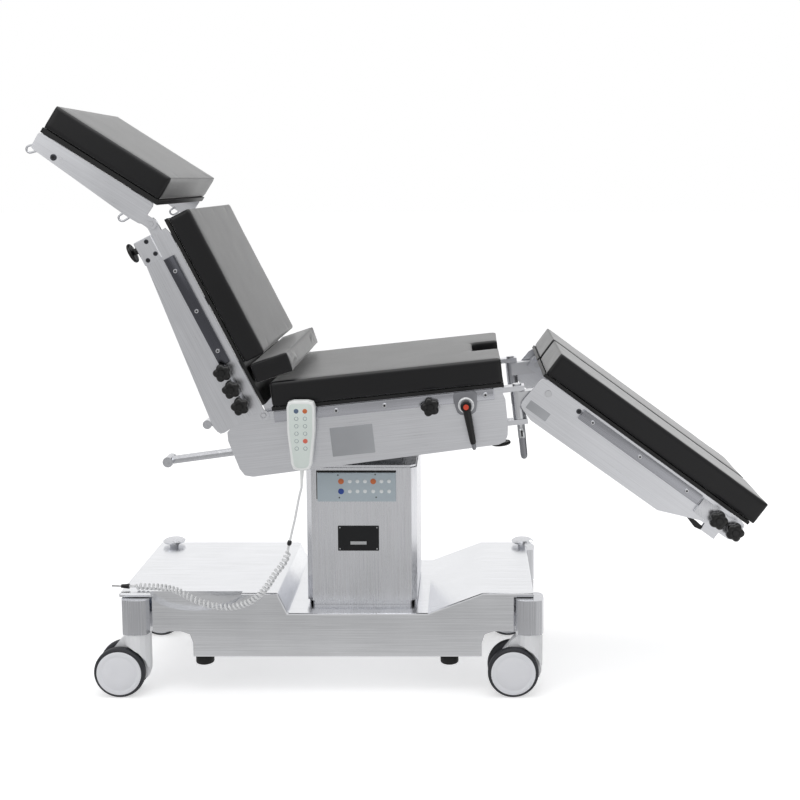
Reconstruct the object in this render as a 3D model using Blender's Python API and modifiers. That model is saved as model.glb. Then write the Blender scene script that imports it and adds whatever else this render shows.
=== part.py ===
"""Electro-hydraulic operating table: wheeled base, lifting column and a jointed top in five sections.

Units are metres, +Z is up and +X points to the leg end. The table stands as in use: low column, top tipped
a few degrees head down, back raised, head section laid back and leg sections lowered.
"""

import math

import bmesh
import bpy
import numpy as np
from mathutils import Matrix, Vector

# Clearances and overruns
GAP = 0.0003
RUN_CLEARANCE = 0.0004
OVERRUN = 0.004
SINK = 0.001

# Places of the main axes, and the shift that centres the whole table on the frame
TABLE_SHIFT = -0.0171
COLUMN_X = -0.103
TILT_AXIS_Z = 0.645
TOP_TILT = math.radians(6.1)
BACK_RAISED = math.radians(69.5)
KIDNEY_TILT = math.radians(82.0)
HEAD_LAID_BACK = math.radians(30.8)
LEGS_LOWERED = math.radians(42.3)

# Base cover: a folded shell, high at both ends and low round the column
COVER_HEAD_END = -0.694
COVER_FOOT_END = 0.322
COVER_HALF_WIDTH = 0.212
COVER_BOTTOM_Z = 0.093
COVER_TOP_Z = 0.2556
DECK_Z = 0.2044
COVER_WALL = 0.003
HEAD_HUMP_END = -0.305
HEAD_SLOPE = 0.024
FOOT_SLOPE_START = 0.062
FOOT_HUMP_START = 0.197
COVER_EDGE_RADIUS = 0.008
SCOOP_CENTRE_X = -0.505
SCOOP_HALF_LENGTH = 0.112
SCOOP_DEPTH = 0.016
SCOOP_HEIGHT = 0.044

# Chassis
BEAM_WIDTH = 0.110
BEAM_BOTTOM_Z = 0.112
BEAM_TOP_Z = 0.150
CROSS_BEAM_WIDTH = 0.056
CROSS_BEAM_REACH = 0.004
FOOT_PLATE_LENGTH = 0.230
FOOT_PLATE_WIDTH = 0.250
POST_SIDE = 0.068
POST_RADIUS = 0.020
POST_BOTTOM_Z = 0.158
POST_TOP_Z = 0.2445
CAP_RADIUS = 0.031
CAP_STEM_RADIUS = 0.012
CAP_HEIGHT = 0.010
CAP_RISE = 0.008

# Casters
HEAD_CASTER_X = -0.652
FOOT_CASTER_X = 0.312
CASTER_Y = 0.203
WHEEL_RADIUS = 0.0625
WHEEL_WIDTH = 0.022
WHEEL_SPACING = 0.052
AXLE_RADIUS = 0.006
TRAIL = 0.040
HOOD_RADIUS = 0.033
HOOD_TOP_Z = 0.157
HOOD_WIDTH = 0.026
HOOD_BOTTOM_Z = 0.040
WHEEL_ARCH_REACH = 0.115
HEAD_ARCH_END = -0.515
FOOT_ARCH_END = 0.195
ARCH_TOP_Z = 0.159
ARCH_RADIUS = 0.030

# Locking feet
FOOT_RADIUS = 0.021
FOOT_BOTTOM_Z = 0.068
FOOT_PAD_HEIGHT = 0.012
HEAD_FEET_X = -0.4935
FOOT_FEET_X = 0.115
FEET_Y = 0.178
FEET_BAR_WIDTH = 0.030
FEET_BAR_BOTTOM_Z = 0.0965
FEET_BAR_TOP_Z = 0.1085
GUIDE_ROD_Y = 0.045
GUIDE_ROD_RADIUS = 0.005
GUIDE_ROD_TOP_Z = 0.190

# Column
COLUMN_LENGTH = 0.274
COLUMN_WIDTH = 0.300
COLUMN_CHAMFER = 0.013
COLUMN_WALL = 0.003
COLUMN_TOP_Z = 0.5545
COLLAR_HEIGHT = 0.011
COLLAR_SET_BACK = 0.004
INNER_LENGTH = 0.200
INNER_WIDTH = 0.220
INNER_WALL = 0.008
INNER_BOTTOM_Z = 0.250
WIPER_HEIGHT = 0.006
HEAD_PLATE_HEIGHT = 0.008
YOKE_INNER_Y = 0.062
YOKE_THICKNESS = 0.012
YOKE_HALF_LENGTH = 0.028
TRUNNION_RADIUS = 0.013
BLOCK_LENGTH = 0.090
BLOCK_WIDTH = 0.100
BLOCK_HEIGHT = 0.060
LIFT_BARREL_RADIUS = 0.045
LIFT_ROD_RADIUS = 0.025
LIFT_BARREL_TOP_Z = 0.500
PANEL_HEAD_EDGE = -0.108
PANEL_FOOT_EDGE = 0.086
PANEL_BOTTOM_Z = 0.470
PANEL_TOP_Z = 0.543
PANEL_THICKNESS = 0.003

# Drives inside the base
MOTOR_RADIUS = 0.042
MOTOR_LENGTH = 0.130
TANK_LENGTH = 0.100
TANK_HALF_WIDTH = 0.036
TANK_HEIGHT = 0.078
DRIVE_X = -0.470
BATTERY_LENGTH = 0.130
BATTERY_WIDTH = 0.090
BATTERY_HEIGHT = 0.060
BATTERY_X = 0.215
CONTROLLER_LENGTH = 0.150
CONTROLLER_WIDTH = 0.100
CONTROLLER_HEIGHT = 0.030

# Table top, shared by its sections
SECTION_WIDTH = 0.500
BOARD_WIDTH = 0.490
BOARD_THICKNESS = 0.0084
CUSHION_THICKNESS = 0.061
CUSHION_EDGE = 0.006
SHEET = 0.004
SEAT_SHEET_Y = 0.245
OUTER_SHEET_Y = 0.250
RAIL_HEIGHT = 0.025
RAIL_DEPTH = 0.008
CORNER_RADIUS = 0.030
PIN_RADIUS = 0.006

# Seat section, from the tilt axis
SEAT_TOP = 0.091
SEAT_HEAD_END = -0.193
SEAT_FOOT_END = 0.361
SEAT_OUTLINE = [
    (-0.235, 0.091),
    (-0.312, 0.055),
    (-0.281, -0.063),
    (0.355, -0.046),
    (0.361, 0.0),
    (0.361, 0.091),
]
SEAT_RAIL_HEAD_END = -0.188
SEAT_RAIL_FOOT_END = 0.335
SEAT_RAIL_TOP = 0.090
NOTCH_WIDTH = 0.140
NOTCH_DEPTH = 0.068
REAR_MEMBER_X = -0.178
REAR_MEMBER_BOTTOM = 0.030
BEAM_X = 0.095
BEAM_THICKNESS = 0.014
BEAM_BOTTOM = 0.040
HANGER_HALF_WIDTH = 0.040
HANGER_BOTTOM = -0.016
FRONT_MEMBER_X = 0.341
FRONT_MEMBER_LENGTH = 0.032
FRONT_MEMBER_BOTTOM = -0.006
FRONT_BOX_BOTTOM = -0.040
FRONT_BOX_HALF_WIDTH = 0.204

# Push handle at the head end of the seat frame
HANDLE_X = -0.456
HANDLE_Z = -0.006
HANDLE_ARM_Y = 0.222
HANDLE_ARM_RADIUS = 0.010
HANDLE_GRIP_RADIUS = 0.0125
HANDLE_GRIP_HALF_LENGTH = 0.022
HANDLE_ROOT_X = -0.160
HANDLE_ROOT_Z = 0.003
HANDLE_PLATE_X = (-0.200, -0.156)
HANDLE_PLATE_THICKNESS = 0.005

# Back section, from its hinge: away from the seat, and above the hinge
BACK_HINGE_X = -0.213
BACK_HINGE_Z = 0.084
BACK_TOP = 0.007
BACK_OUTLINE = [
    (0.504, 0.007),
    (0.462, -0.077),
    (0.029, -0.120),
    (0.003, -0.114),
    (0.014, -0.014),
    (0.014, 0.007),
]
BACK_BOARD_START = 0.022
BACK_BOARD_END = 0.513
BACK_CUSHION_START = 0.129
BACK_CUSHION_END = 0.513
BACK_CUSHION_THICKNESS = 0.056
BACK_RAIL_START = 0.150
BACK_RAIL_END = 0.430
BACK_RAIL_TOP = -0.010
BACK_LUG_RADIUS = 0.013
BACK_MEMBER_PLACES = [0.120, 0.290, 0.455]
BACK_MEMBER_LENGTH = 0.022
BACK_MEMBER_TOP = 0.0069
BACK_MEMBER_BOTTOM = -0.042
BACK_KNOB_PLACES = [0.135, 0.0905, 0.046]
BACK_KNOB_HEIGHT = -0.033
KNOB_BAR_MARGIN = 0.013

# Kidney cushion, from its hinge on the back section
KIDNEY_HINGE_ALONG = 0.098
KIDNEY_HINGE_UP = 0.042
KIDNEY_HEAD_SIDE = 0.020
KIDNEY_FOOT_SIDE = 0.075
KIDNEY_BELOW = 0.0255
KIDNEY_ABOVE = 0.0225
KIDNEY_ROUND = 0.018
KIDNEY_SLOT_WIDTH = 0.076
KIDNEY_SLOT_REACH = 0.016
LUG_THICKNESS = 0.006
LUG_SPACING = 0.046
LUG_HALF_LENGTH = 0.008
KIDNEY_PIN_RADIUS = 0.004
BRACKET_WALL = 0.002

# Cylinder that lifts the back section
BACK_BARREL_RADIUS = 0.018
BACK_ROD_RADIUS = 0.008
BACK_BARREL_Y = 0.185
BACK_BARREL_ROOT = (-0.115, 0.004)
BACK_BARREL_TIP = (-0.235, -0.006)
BACK_ROD_TIP = (-0.290, -0.0106)

# Head section, from its hinge: away from the back, and above the hinge
HEAD_HINGE_ALONG = 0.518
HEAD_HINGE_UP = -0.023
HEAD_OUTLINE = [
    (0.326, 0.043),
    (0.324, 0.001),
    (0.056, -0.016),
    (0.019, -0.015),
    (0.017, 0.043),
]
HEAD_TOP = 0.043
HEAD_BOARD_THICKNESS = 0.012
HEAD_CUSHION_THICKNESS = 0.060
HEAD_START = 0.012
HEAD_END = 0.325
HEAD_LUG_RADIUS = 0.014
HEAD_MEMBER_PLACES = [0.060, 0.295]
HEAD_MEMBER_LENGTH = 0.022
HEAD_MEMBER_BOTTOM = 0.012
HEAD_BLOCK_START = 0.436
HEAD_BLOCK_END = 0.496
HEAD_BLOCK_TOP = -0.036
HEAD_BLOCK_BOTTOM = -0.082
HEAD_BLOCK_INNER_Y = 0.206
HEAD_ARM_TOP = -0.010
HEAD_ARM_BOTTOM = -0.0365

# Leg sections, from their pitch hinge: along the section, and above the hinge
SWING_X = 0.392
SWING_Y = 0.222
PITCH_X = 0.463
PITCH_Z = 0.064
LEG_OUTLINE = [
    (-0.034, 0.026),
    (-0.039, -0.062),
    (0.004, -0.076),
    (0.379, -0.073),
    (0.477, -0.032),
    (0.571, -0.029),
    (0.575, 0.026),
]
LEG_TOP = 0.026
LEG_START = -0.034
LEG_END = 0.590
LEG_INNER_Y = 0.010
LEG_BOARD_END = 0.578
LEG_RAIL_START = 0.092
LEG_RAIL_END = 0.445
LEG_RAIL_TOP = 0.020
LEG_MEMBER_PLACES = [0.110, 0.300, 0.520]
LEG_MEMBER_LENGTH = 0.022
LEG_MEMBER_TOP = 0.022
LEG_MEMBER_BOTTOM = -0.018
LEG_LUG_Y = 0.199
LEG_LUG_HALF_LENGTH = 0.020
LEG_PIN_RADIUS = 0.008
LEG_KNOB_PLACES = [0.504, 0.553]
LEG_KNOB_HEIGHT = -0.003
LEG_LEVER_PIVOT = 0.505
LEG_LEVER_LENGTH = 0.062
LEG_LEVER_HEIGHT = -0.049
LEG_LEVER_Y = 0.215
LEVER_PIN_RADIUS = 0.002
SWING_PIN_RADIUS = 0.007
SWING_BARREL_RADIUS = 0.015
SWING_LUG_TOP = 0.088
SWING_LUG_BOTTOM = -0.005
SWING_LUG_THICKNESS = 0.012
SWING_LUG_HALF_WIDTH = 0.017
SWING_LUG_REACH = 0.017
SWING_ARM_INNER_Y = 0.207
SWING_ARM_OUTER_Y = 0.239
SWING_ARM_BOTTOM = 0.040
SWING_ARM_TOP = 0.074
LOCK_LEVER_Z = -0.016
LOCK_LEVER_LENGTH = 0.072
LOCK_LEVER_RADIUS = 0.0075
LOCK_HEAD_RADIUS = 0.009
LOCK_HEAD_LENGTH = 0.024
LOCK_EAR_WIDTH = 0.006
LOCK_PIN_RADIUS = 0.0016

# Knobs and levers
STAR_RADIUS = 0.0195
STAR_LOBE_DEPTH = 0.0026
STAR_THICKNESS = 0.020
STAR_STEM_RADIUS = 0.007
STAR_STEM_LENGTH = 0.008
DISC_RADIUS = 0.024
DISC_THICKNESS = 0.009
DISC_STEM_RADIUS = 0.008
DISC_STEM_LENGTH = 0.013
SEAT_STAR = (0.183, 0.066)
SEAT_DISC = (0.340, -0.178)
HEAD_DISC_ALONG = 0.478
CLAMP = (0.267, 0.059)
CLAMP_PLATE_HALF_WIDTH = 0.025
CLAMP_PLATE_TOP = 0.092
CLAMP_PLATE_BOTTOM = 0.028
CLAMP_PLATE_THICKNESS = 0.006
CLAMP_HUB_RADIUS = 0.016
CLAMP_HUB_LENGTH = 0.006
CLAMP_LEVER_REACH = 0.096
CLAMP_LEVER_LEAN = 0.008
CLAMP_LEVER_THICKNESS = 0.0115
CLAMP_BOSS_RADIUS = 0.011
CLAMP_BUTTON_RADIUS = 0.0065
CLAMP_BUTTON_RISE = 0.004

# Handset and its cord
HANDSET_X = -0.231
HANDSET_TOP_Z = 0.747
HANDSET_LENGTH = 0.167
HANDSET_TOP_WIDTH = 0.067
HANDSET_BOTTOM_WIDTH = 0.045
HANDSET_THICKNESS = 0.026
HANDSET_BACK_Y = -0.2605
HANDSET_EDGE = 0.008
RELIEF_LENGTH = 0.034
RELIEF_RADIUS = 0.0055
CORD_RADIUS = 0.0021
CURL_RADIUS = 0.0058
CURLS = 44
CURL_POINTS = 8
COLLAR_RADIUS = 0.0055
COLLAR_LENGTH = 0.012
PLUG_RADIUS = 0.0065
PLUG_LENGTH = 0.020
PLUG_PIN_RADIUS = 0.0015
PLUG_PIN_LENGTH = 0.024
LEAD_ROUTE = [
    (-0.2330, -0.2735, 0.5456),
    (-0.2334, -0.2736, 0.5370),
    (-0.2390, -0.2752, 0.5150),
    (-0.2440, -0.2765, 0.4900),
    (-0.2500, -0.2778, 0.4600),
    (-0.2560, -0.2790, 0.4350),
    (-0.2600, -0.2800, 0.4180),
    (-0.2618, -0.2802, 0.4105),
]
CURLY_ROUTE = [
    (-0.2648, -0.2806, 0.3980),
    (-0.2740, -0.2812, 0.3620),
    (-0.2990, -0.2770, 0.3270),
    (-0.3230, -0.2710, 0.2900),
    (-0.3530, -0.2620, 0.2590),
    (-0.3900, -0.2530, 0.2400),
    (-0.4300, -0.2450, 0.2330),
    (-0.4700, -0.2400, 0.2380),
    (-0.5050, -0.2340, 0.2490),
    (-0.5350, -0.2230, 0.2600),
    (-0.5650, -0.2090, 0.2660),
    (-0.6000, -0.1960, 0.2662),
    (-0.6400, -0.1890, 0.2655),
    (-0.6735, -0.1875, 0.2655),
]

ROUND_SIDES = 16
SMALL_SIDES = 10
RIGHT, LEFT = -1, 1
AXES = {
    "X": Matrix.Rotation(math.radians(90), 4, "Y"),
    "Y": Matrix.Rotation(math.radians(-90), 4, "X"),
    "Z": Matrix.Identity(4),
}
STEEL = ("b9bcc0", 0.32, 1.0)
BRIGHT_STEEL = ("d2d5d8", 0.22, 1.0)
ALUMINIUM = ("c4c7ca", 0.38, 1.0)
DARK_STEEL = ("4a4c50", 0.45, 1.0)
BLACK_PLASTIC = ("17181a", 0.45, 0.0)
BLACK_RUBBER = ("141416", 0.75, 0.0)
BLACK_LEATHER = ("1f1f23", 0.55, 0.0)
WHITE_PLASTIC = ("dfe1e3", 0.35, 0.0)
PALE_PLASTIC = ("c9d4cf", 0.4, 0.0)
RED_PLASTIC = ("d04a35", 0.4, 0.0)
PANEL_FILM = ("7f93a0", 0.4, 0.0)
BLUE_ENAMEL = ("3d5f86", 0.4, 0.0)


def clear_scene():
    """Take away whatever the scene holds."""
    for obj in list(bpy.data.objects):
        bpy.data.objects.remove(obj, do_unlink=True)


def make_collection(name, hidden):
    """A collection under the scene, hidden when it only holds cutters."""
    made = bpy.data.collections.new(name)
    made.hide_render = hidden
    bpy.context.scene.collection.children.link(made)
    return made


def linear(channel):
    """One sRGB channel as linear light."""
    return channel / 12.92 if channel <= 0.04045 else ((channel + 0.055) / 1.055) ** 2.4


def make_material(name, finish):
    """A Principled material from a colour in hex, a roughness and a metallic value."""
    colour, roughness, metallic = finish
    made = bpy.data.materials.new(name)
    made.use_nodes = True
    shader = made.node_tree.nodes["Principled BSDF"]
    rgb = [linear(int(colour[i : i + 2], 16) / 255) for i in (0, 2, 4)]
    shader.inputs["Base Color"].default_value = (*rgb, 1.0)
    shader.inputs["Roughness"].default_value = roughness
    shader.inputs["Metallic"].default_value = metallic
    return made


def mesh_from(bm, name="mesh"):
    """A mesh from a bmesh, which is freed."""
    bmesh.ops.recalc_face_normals(bm, faces=bm.faces)
    made = bpy.data.meshes.new(name)
    bm.to_mesh(made)
    bm.free()
    return made


def box(low, high, edge=0.0, segments=1):
    """A box between two corners, its edges rounded where an edge radius is given."""
    low, high = Vector(low), Vector(high)
    bm = bmesh.new()
    bmesh.ops.create_cube(bm, size=1.0)
    bmesh.ops.scale(bm, vec=high - low, verts=bm.verts)
    bmesh.ops.translate(bm, vec=(low + high) / 2, verts=bm.verts)
    if edge:
        bmesh.ops.bevel(
            bm, geom=bm.edges[:], offset=edge, segments=segments, profile=0.5, affect="EDGES"
        )
    return mesh_from(bm)


def rod(start, end, radius, end_radius=None, sides=ROUND_SIDES):
    """A round bar or cone between two points."""
    start, end = Vector(start), Vector(end)
    bm = bmesh.new()
    bmesh.ops.create_cone(
        bm,
        cap_ends=True,
        segments=sides,
        radius1=radius,
        radius2=radius if end_radius is None else end_radius,
        depth=(end - start).length,
    )
    turn = (end - start).to_track_quat("Z", "Y").to_matrix().to_4x4()
    bmesh.ops.transform(bm, matrix=Matrix.Translation((start + end) / 2) @ turn, verts=bm.verts)
    return mesh_from(bm)


def rounded(points, radius, steps=2):
    """An outline whose corners are arcs, as far as the sides beside each corner allow."""
    out = []
    count = len(points)
    for i in range(count):
        before, corner, after = (Vector(points[(i + k) % count]) for k in (-1, 0, 1))
        to_before = before - corner
        to_after = after - corner
        half = to_before.angle(to_after) / 2
        reach = min(radius / math.tan(half), to_before.length / 2.2, to_after.length / 2.2)
        first = corner + to_before.normalized() * reach
        last = corner + to_after.normalized() * reach
        for k in range(steps + 1):
            t = k / steps
            out.append(tuple((1 - t) ** 2 * first + 2 * t * (1 - t) * corner + t**2 * last))
    return out


def plate(outline, y_low, y_high, edge=0.0):
    """A flat plate whose outline lies in X and Z and whose thickness runs along Y."""
    curve = bpy.data.curves.new("outline", "CURVE")
    curve.dimensions = "2D"
    curve.fill_mode = "BOTH"
    curve.extrude = (y_high - y_low) / 2
    spline = curve.splines.new("POLY")
    spline.points.add(len(outline) - 1)
    for point, place in zip(spline.points, outline):
        point.co = (place[0], place[1], 0.0, 1.0)
    spline.use_cyclic_u = True
    bm = evaluated(bpy.data.objects.new("outline", curve))
    if edge:
        rim = [e for e in bm.edges if len(e.link_faces) == 2 and e.calc_face_angle(0) > 1]
        bmesh.ops.bevel(bm, geom=rim, offset=edge, segments=2, profile=0.5, affect="EDGES")
    upright = Matrix.Translation((0, (y_low + y_high) / 2, 0)) @ Matrix.Rotation(
        math.radians(90), 4, "X"
    )
    bmesh.ops.transform(bm, matrix=upright, verts=bm.verts)
    return mesh_from(bm)


def evaluated(holder):
    """The mesh that an object shows, once its modifiers have run. The object is removed."""
    bpy.context.scene.collection.objects.link(holder)
    bpy.context.view_layer.update()
    depsgraph = bpy.context.evaluated_depsgraph_get()
    mesh = bpy.data.meshes.new_from_object(holder.evaluated_get(depsgraph))
    bpy.data.objects.remove(holder)
    bm = bmesh.new()
    bm.from_mesh(mesh)
    bmesh.ops.remove_doubles(bm, verts=bm.verts, dist=RUN_CLEARANCE / 10)
    return bm


def turned(profile, sides=ROUND_SIDES):
    """A turned solid: (radius, height) points down its outer side, swept round by a screw."""
    bm = bmesh.new()
    verts = [bm.verts.new((r, 0, z)) for r, z in profile]
    for a, b in zip(verts, verts[1:]):
        bm.edges.new((a, b))
    mesh = bpy.data.meshes.new("profile")
    bm.to_mesh(mesh)
    bm.free()
    holder = bpy.data.objects.new("profile", mesh)
    screw = holder.modifiers.new("turn", "SCREW")
    screw.angle = 2 * math.pi
    screw.steps = sides
    screw.render_steps = sides
    screw.use_merge_vertices = True
    screw.merge_threshold = RUN_CLEARANCE / 10
    return mesh_from(evaluated(holder))


def moved(mesh, matrix):
    """The mesh placed by a matrix."""
    mesh.transform(matrix)
    if matrix.determinant() < 0:
        mesh.flip_normals()
    return mesh


def mirrored(mesh):
    """A copy of a mesh on the other side of the table."""
    return moved(mesh.copy(), Matrix.Scale(-1, 4, (0, 1, 0)))


def axes(name, parent, place, turn=0.0):
    """An empty that carries a section: it stands on the hinge and turns about Y."""
    made = bpy.data.objects.new(name, None)
    made.location = place
    made.rotation_euler = (0, turn, 0)
    made.parent = parent
    PARTS.objects.link(made)
    return made


def solid(name, mesh, finish, parent=None):
    """One sub-part: a named object with its own material, carried by an empty."""
    mesh.name = name
    made = bpy.data.objects.new(name, mesh)
    made.parent = parent or ROOT
    mesh.materials.clear()
    mesh.materials.append(make_material(name, finish))
    mesh.shade_smooth()
    mesh.set_sharp_from_angle(angle=math.radians(35))
    PARTS.objects.link(made)
    return made


def combine(host, operation, meshes):
    """Join meshes to a sub-part or cut them out of it, all at once."""
    group = bpy.data.collections.new(f"{host.name}_{operation.lower()}")
    CUTTERS.children.link(group)
    for mesh in meshes:
        tool = bpy.data.objects.new(f"{host.name}_tool", mesh)
        tool.parent = host.parent
        tool.hide_render = True
        tool.display_type = "WIRE"
        group.objects.link(tool)
    step = host.modifiers.new(operation.lower(), "BOOLEAN")
    step.operation = operation
    step.operand_type = "COLLECTION"
    step.collection = group
    step.solver = "EXACT"
    step.use_self = operation == "UNION"
    return host


def join(host, *meshes):
    """Weld further shapes onto a sub-part."""
    return combine(host, "UNION", meshes)


def cut(host, *meshes):
    """Cut shapes out of a sub-part."""
    return combine(host, "DIFFERENCE", meshes)


def both(mesh):
    """A mesh and its copy on the other side."""
    return [mesh, mirrored(mesh)]


def base_profile(inset):
    """The base cover seen from the side, set in by a wall thickness and open below."""
    bottom = COVER_BOTTOM_Z if not inset else COVER_BOTTOM_Z - OVERRUN
    slope = inset * 0.4
    return [
        (COVER_HEAD_END + inset, bottom),
        (COVER_FOOT_END - inset, bottom),
        (COVER_FOOT_END - inset, COVER_TOP_Z - inset),
        (FOOT_HUMP_START + slope, COVER_TOP_Z - inset),
        (FOOT_SLOPE_START + slope, DECK_Z - inset),
        (HEAD_HUMP_END + HEAD_SLOPE - slope, DECK_Z - inset),
        (HEAD_HUMP_END - slope, COVER_TOP_Z - inset),
        (COVER_HEAD_END + inset, COVER_TOP_Z - inset),
    ]


def caster_places():
    """Name, X and Y of each caster's swivel axis."""
    for end, x in (("head", HEAD_CASTER_X), ("foot", FOOT_CASTER_X)):
        for hand, side in (("right", RIGHT), ("left", LEFT)):
            yield f"{end}_{hand}", x, side * CASTER_Y


def build_base():
    """Cover, chassis, drives and locking feet of the base."""
    cover = solid(
        "base_cover",
        plate(base_profile(0.0), -COVER_HALF_WIDTH, COVER_HALF_WIDTH, COVER_EDGE_RADIUS / 2),
        BRIGHT_STEEL,
    )
    inside = COVER_HALF_WIDTH - COVER_WALL
    scoop = moved(
        rod((0, -SCOOP_DEPTH, 0), (0, SCOOP_DEPTH, 0), 1.0, sides=28),
        Matrix.Translation((SCOOP_CENTRE_X, -COVER_HALF_WIDTH, COVER_TOP_Z))
        @ Matrix.Diagonal((SCOOP_HALF_LENGTH, 1, SCOOP_HEIGHT, 1)),
    )
    well = moved(
        rod((0, -SCOOP_DEPTH, 0), (0, SCOOP_DEPTH, 0), 1.0, sides=28),
        Matrix.Translation((SCOOP_CENTRE_X, -COVER_HALF_WIDTH, COVER_TOP_Z))
        @ Matrix.Diagonal(
            (SCOOP_HALF_LENGTH + COVER_WALL, 1 + COVER_WALL / SCOOP_DEPTH, SCOOP_HEIGHT + COVER_WALL, 1)
        ),
    )
    hollow = solid("base_hollow", plate(base_profile(COVER_WALL), -inside, inside), STEEL)
    CUTTERS.objects.link(hollow)
    PARTS.objects.unlink(hollow)
    hollow.hide_render = True
    hollow.display_type = "WIRE"
    cut(hollow, well)
    carve = cover.modifiers.new("hollow", "BOOLEAN")
    carve.operation = "DIFFERENCE"
    carve.object = hollow
    carve.solver = "EXACT"
    post_reach = POST_SIDE / 2 + POST_RADIUS / 4
    cuts = [scoop]
    for _, x, y in caster_places():
        outer_x = COVER_HEAD_END - OVERRUN if x < 0 else COVER_FOOT_END + OVERRUN
        inner_x = x + post_reach if x < 0 else x - post_reach
        outer_y = math.copysign(COVER_HALF_WIDTH + OVERRUN, y)
        inner_y = math.copysign(abs(y) - post_reach, y)
        cuts.append(
            box(
                (min(outer_x, inner_x), min(outer_y, inner_y), COVER_BOTTOM_Z - OVERRUN),
                (max(outer_x, inner_x), max(outer_y, inner_y), POST_TOP_Z + OVERRUN / 2),
            )
        )
        arch_x = HEAD_ARCH_END if x < 0 else FOOT_ARCH_END
        arch_start = outer_x + math.copysign(ARCH_RADIUS, outer_x)
        arch = rounded(
            rectangle(
                min(arch_start, arch_x),
                max(arch_start, arch_x),
                COVER_BOTTOM_Z - ARCH_RADIUS * 2,
                ARCH_TOP_Z,
            ),
            ARCH_RADIUS,
        )
        far_y = math.copysign(COVER_HALF_WIDTH + OVERRUN, y)
        near_y = math.copysign(abs(y) - WHEEL_ARCH_REACH, y)
        cuts.append(plate(arch, min(far_y, near_y), max(far_y, near_y)))
    column_hole_x = INNER_LENGTH / 2 + COLUMN_WALL
    column_hole_y = INNER_WIDTH / 2 + COLUMN_WALL
    cuts.append(
        box(
            (COLUMN_X - column_hole_x, -column_hole_y, DECK_Z - COVER_WALL - OVERRUN),
            (COLUMN_X + column_hole_x, column_hole_y, DECK_Z + OVERRUN),
        )
    )
    cap_hole = CAP_STEM_RADIUS + 2 * GAP
    for x in (HEAD_CASTER_X, FOOT_CASTER_X):
        cuts.append(
            rod(
                (x, CASTER_Y - POST_SIDE / 4, POST_TOP_Z),
                (x, CASTER_Y - POST_SIDE / 4, COVER_TOP_Z + OVERRUN),
                cap_hole,
            )
        )
    cut(cover, *cuts)
    build_chassis()
    build_drives()
    for name, x in (("head_locking_feet", HEAD_FEET_X), ("foot_locking_feet", FOOT_FEET_X)):
        build_feet(name, x)


def build_chassis():
    """Welded beams, four caster posts, the column's foot plate and two round caps."""
    chassis = solid(
        "base_chassis",
        box(
            (HEAD_CASTER_X - CROSS_BEAM_WIDTH / 2 + 2 * SINK, -BEAM_WIDTH / 2, BEAM_BOTTOM_Z),
            (FOOT_CASTER_X + CROSS_BEAM_REACH - 2 * SINK, BEAM_WIDTH / 2, BEAM_TOP_Z),
        ),
        STEEL,
    )
    shapes = [
        box(
            (COLUMN_X - FOOT_PLATE_LENGTH / 2, -FOOT_PLATE_WIDTH / 2, BEAM_TOP_Z - SINK),
            (COLUMN_X + FOOT_PLATE_LENGTH / 2, FOOT_PLATE_WIDTH / 2, DECK_Z - COVER_WALL - GAP),
        )
    ]
    holes = []
    stem = AXLE_RADIUS * 1.5
    for x in (HEAD_CASTER_X, FOOT_CASTER_X):
        shapes.append(
            box(
                (x - CROSS_BEAM_WIDTH / 2, -CASTER_Y, POST_BOTTOM_Z + SINK),
                (x + CROSS_BEAM_REACH, CASTER_Y, POST_TOP_Z - POST_RADIUS),
            )
        )
        shapes.append(
            box(
                (x - CROSS_BEAM_WIDTH / 2 + SINK, -BEAM_WIDTH / 2 + SINK, BEAM_TOP_Z - SINK),
                (
                    x + CROSS_BEAM_REACH - SINK,
                    BEAM_WIDTH / 2 - SINK,
                    POST_BOTTOM_Z + 2 * SINK,
                ),
            )
        )
        cap_y = CASTER_Y - POST_SIDE / 4
        shapes.append(
            rod(
                (x, cap_y, POST_TOP_Z - SINK),
                (x, cap_y, COVER_TOP_Z + CAP_RISE + SINK),
                CAP_STEM_RADIUS,
                sides=SMALL_SIDES,
            )
        )
        cap = [
            (0, CAP_HEIGHT),
            (CAP_RADIUS * 0.8, CAP_HEIGHT * 0.85),
            (CAP_RADIUS, CAP_HEIGHT * 0.45),
            (CAP_RADIUS * 0.92, 0),
            (0, 0),
        ]
        shapes.append(moved(turned(cap), Matrix.Translation((x, cap_y, COVER_TOP_Z + CAP_RISE))))
    for _, x, y in caster_places():
        corners = [
            (x + sx * POST_SIDE / 2, y + sy * POST_SIDE / 2) for sx, sy in ((-1, -1), (1, -1), (1, 1), (-1, 1))
        ]
        post = plate(rounded(corners, POST_RADIUS), -POST_TOP_Z, -POST_BOTTOM_Z)
        shapes.append(moved(post, Matrix.Rotation(math.radians(-90), 4, "X")))
        hole_top = HOOD_TOP_Z + POST_SIDE / 2 + 2 * GAP
        holes.append(rod((x, y, POST_BOTTOM_Z - OVERRUN), (x, y, hole_top), stem + RUN_CLEARANCE))
    shapes.append(
        rod(
            (COLUMN_X, 0, BEAM_TOP_Z + SINK),
            (COLUMN_X, 0, LIFT_BARREL_TOP_Z),
            LIFT_BARREL_RADIUS,
        )
    )
    holes.append(
        rod(
            (COLUMN_X, 0, INNER_BOTTOM_Z - COLLAR_HEIGHT),
            (COLUMN_X, 0, LIFT_BARREL_TOP_Z + OVERRUN),
            LIFT_ROD_RADIUS + RUN_CLEARANCE,
        )
    )
    for x in (HEAD_FEET_X, FOOT_FEET_X):
        for y in (-GUIDE_ROD_Y, GUIDE_ROD_Y):
            holes.append(
                rod(
                    (x, y, BEAM_BOTTOM_Z - OVERRUN),
                    (x, y, BEAM_TOP_Z + OVERRUN),
                    GUIDE_ROD_RADIUS + RUN_CLEARANCE,
                    sides=SMALL_SIDES,
                )
            )
    join(chassis, *shapes)
    cut(chassis, *holes)


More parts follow.
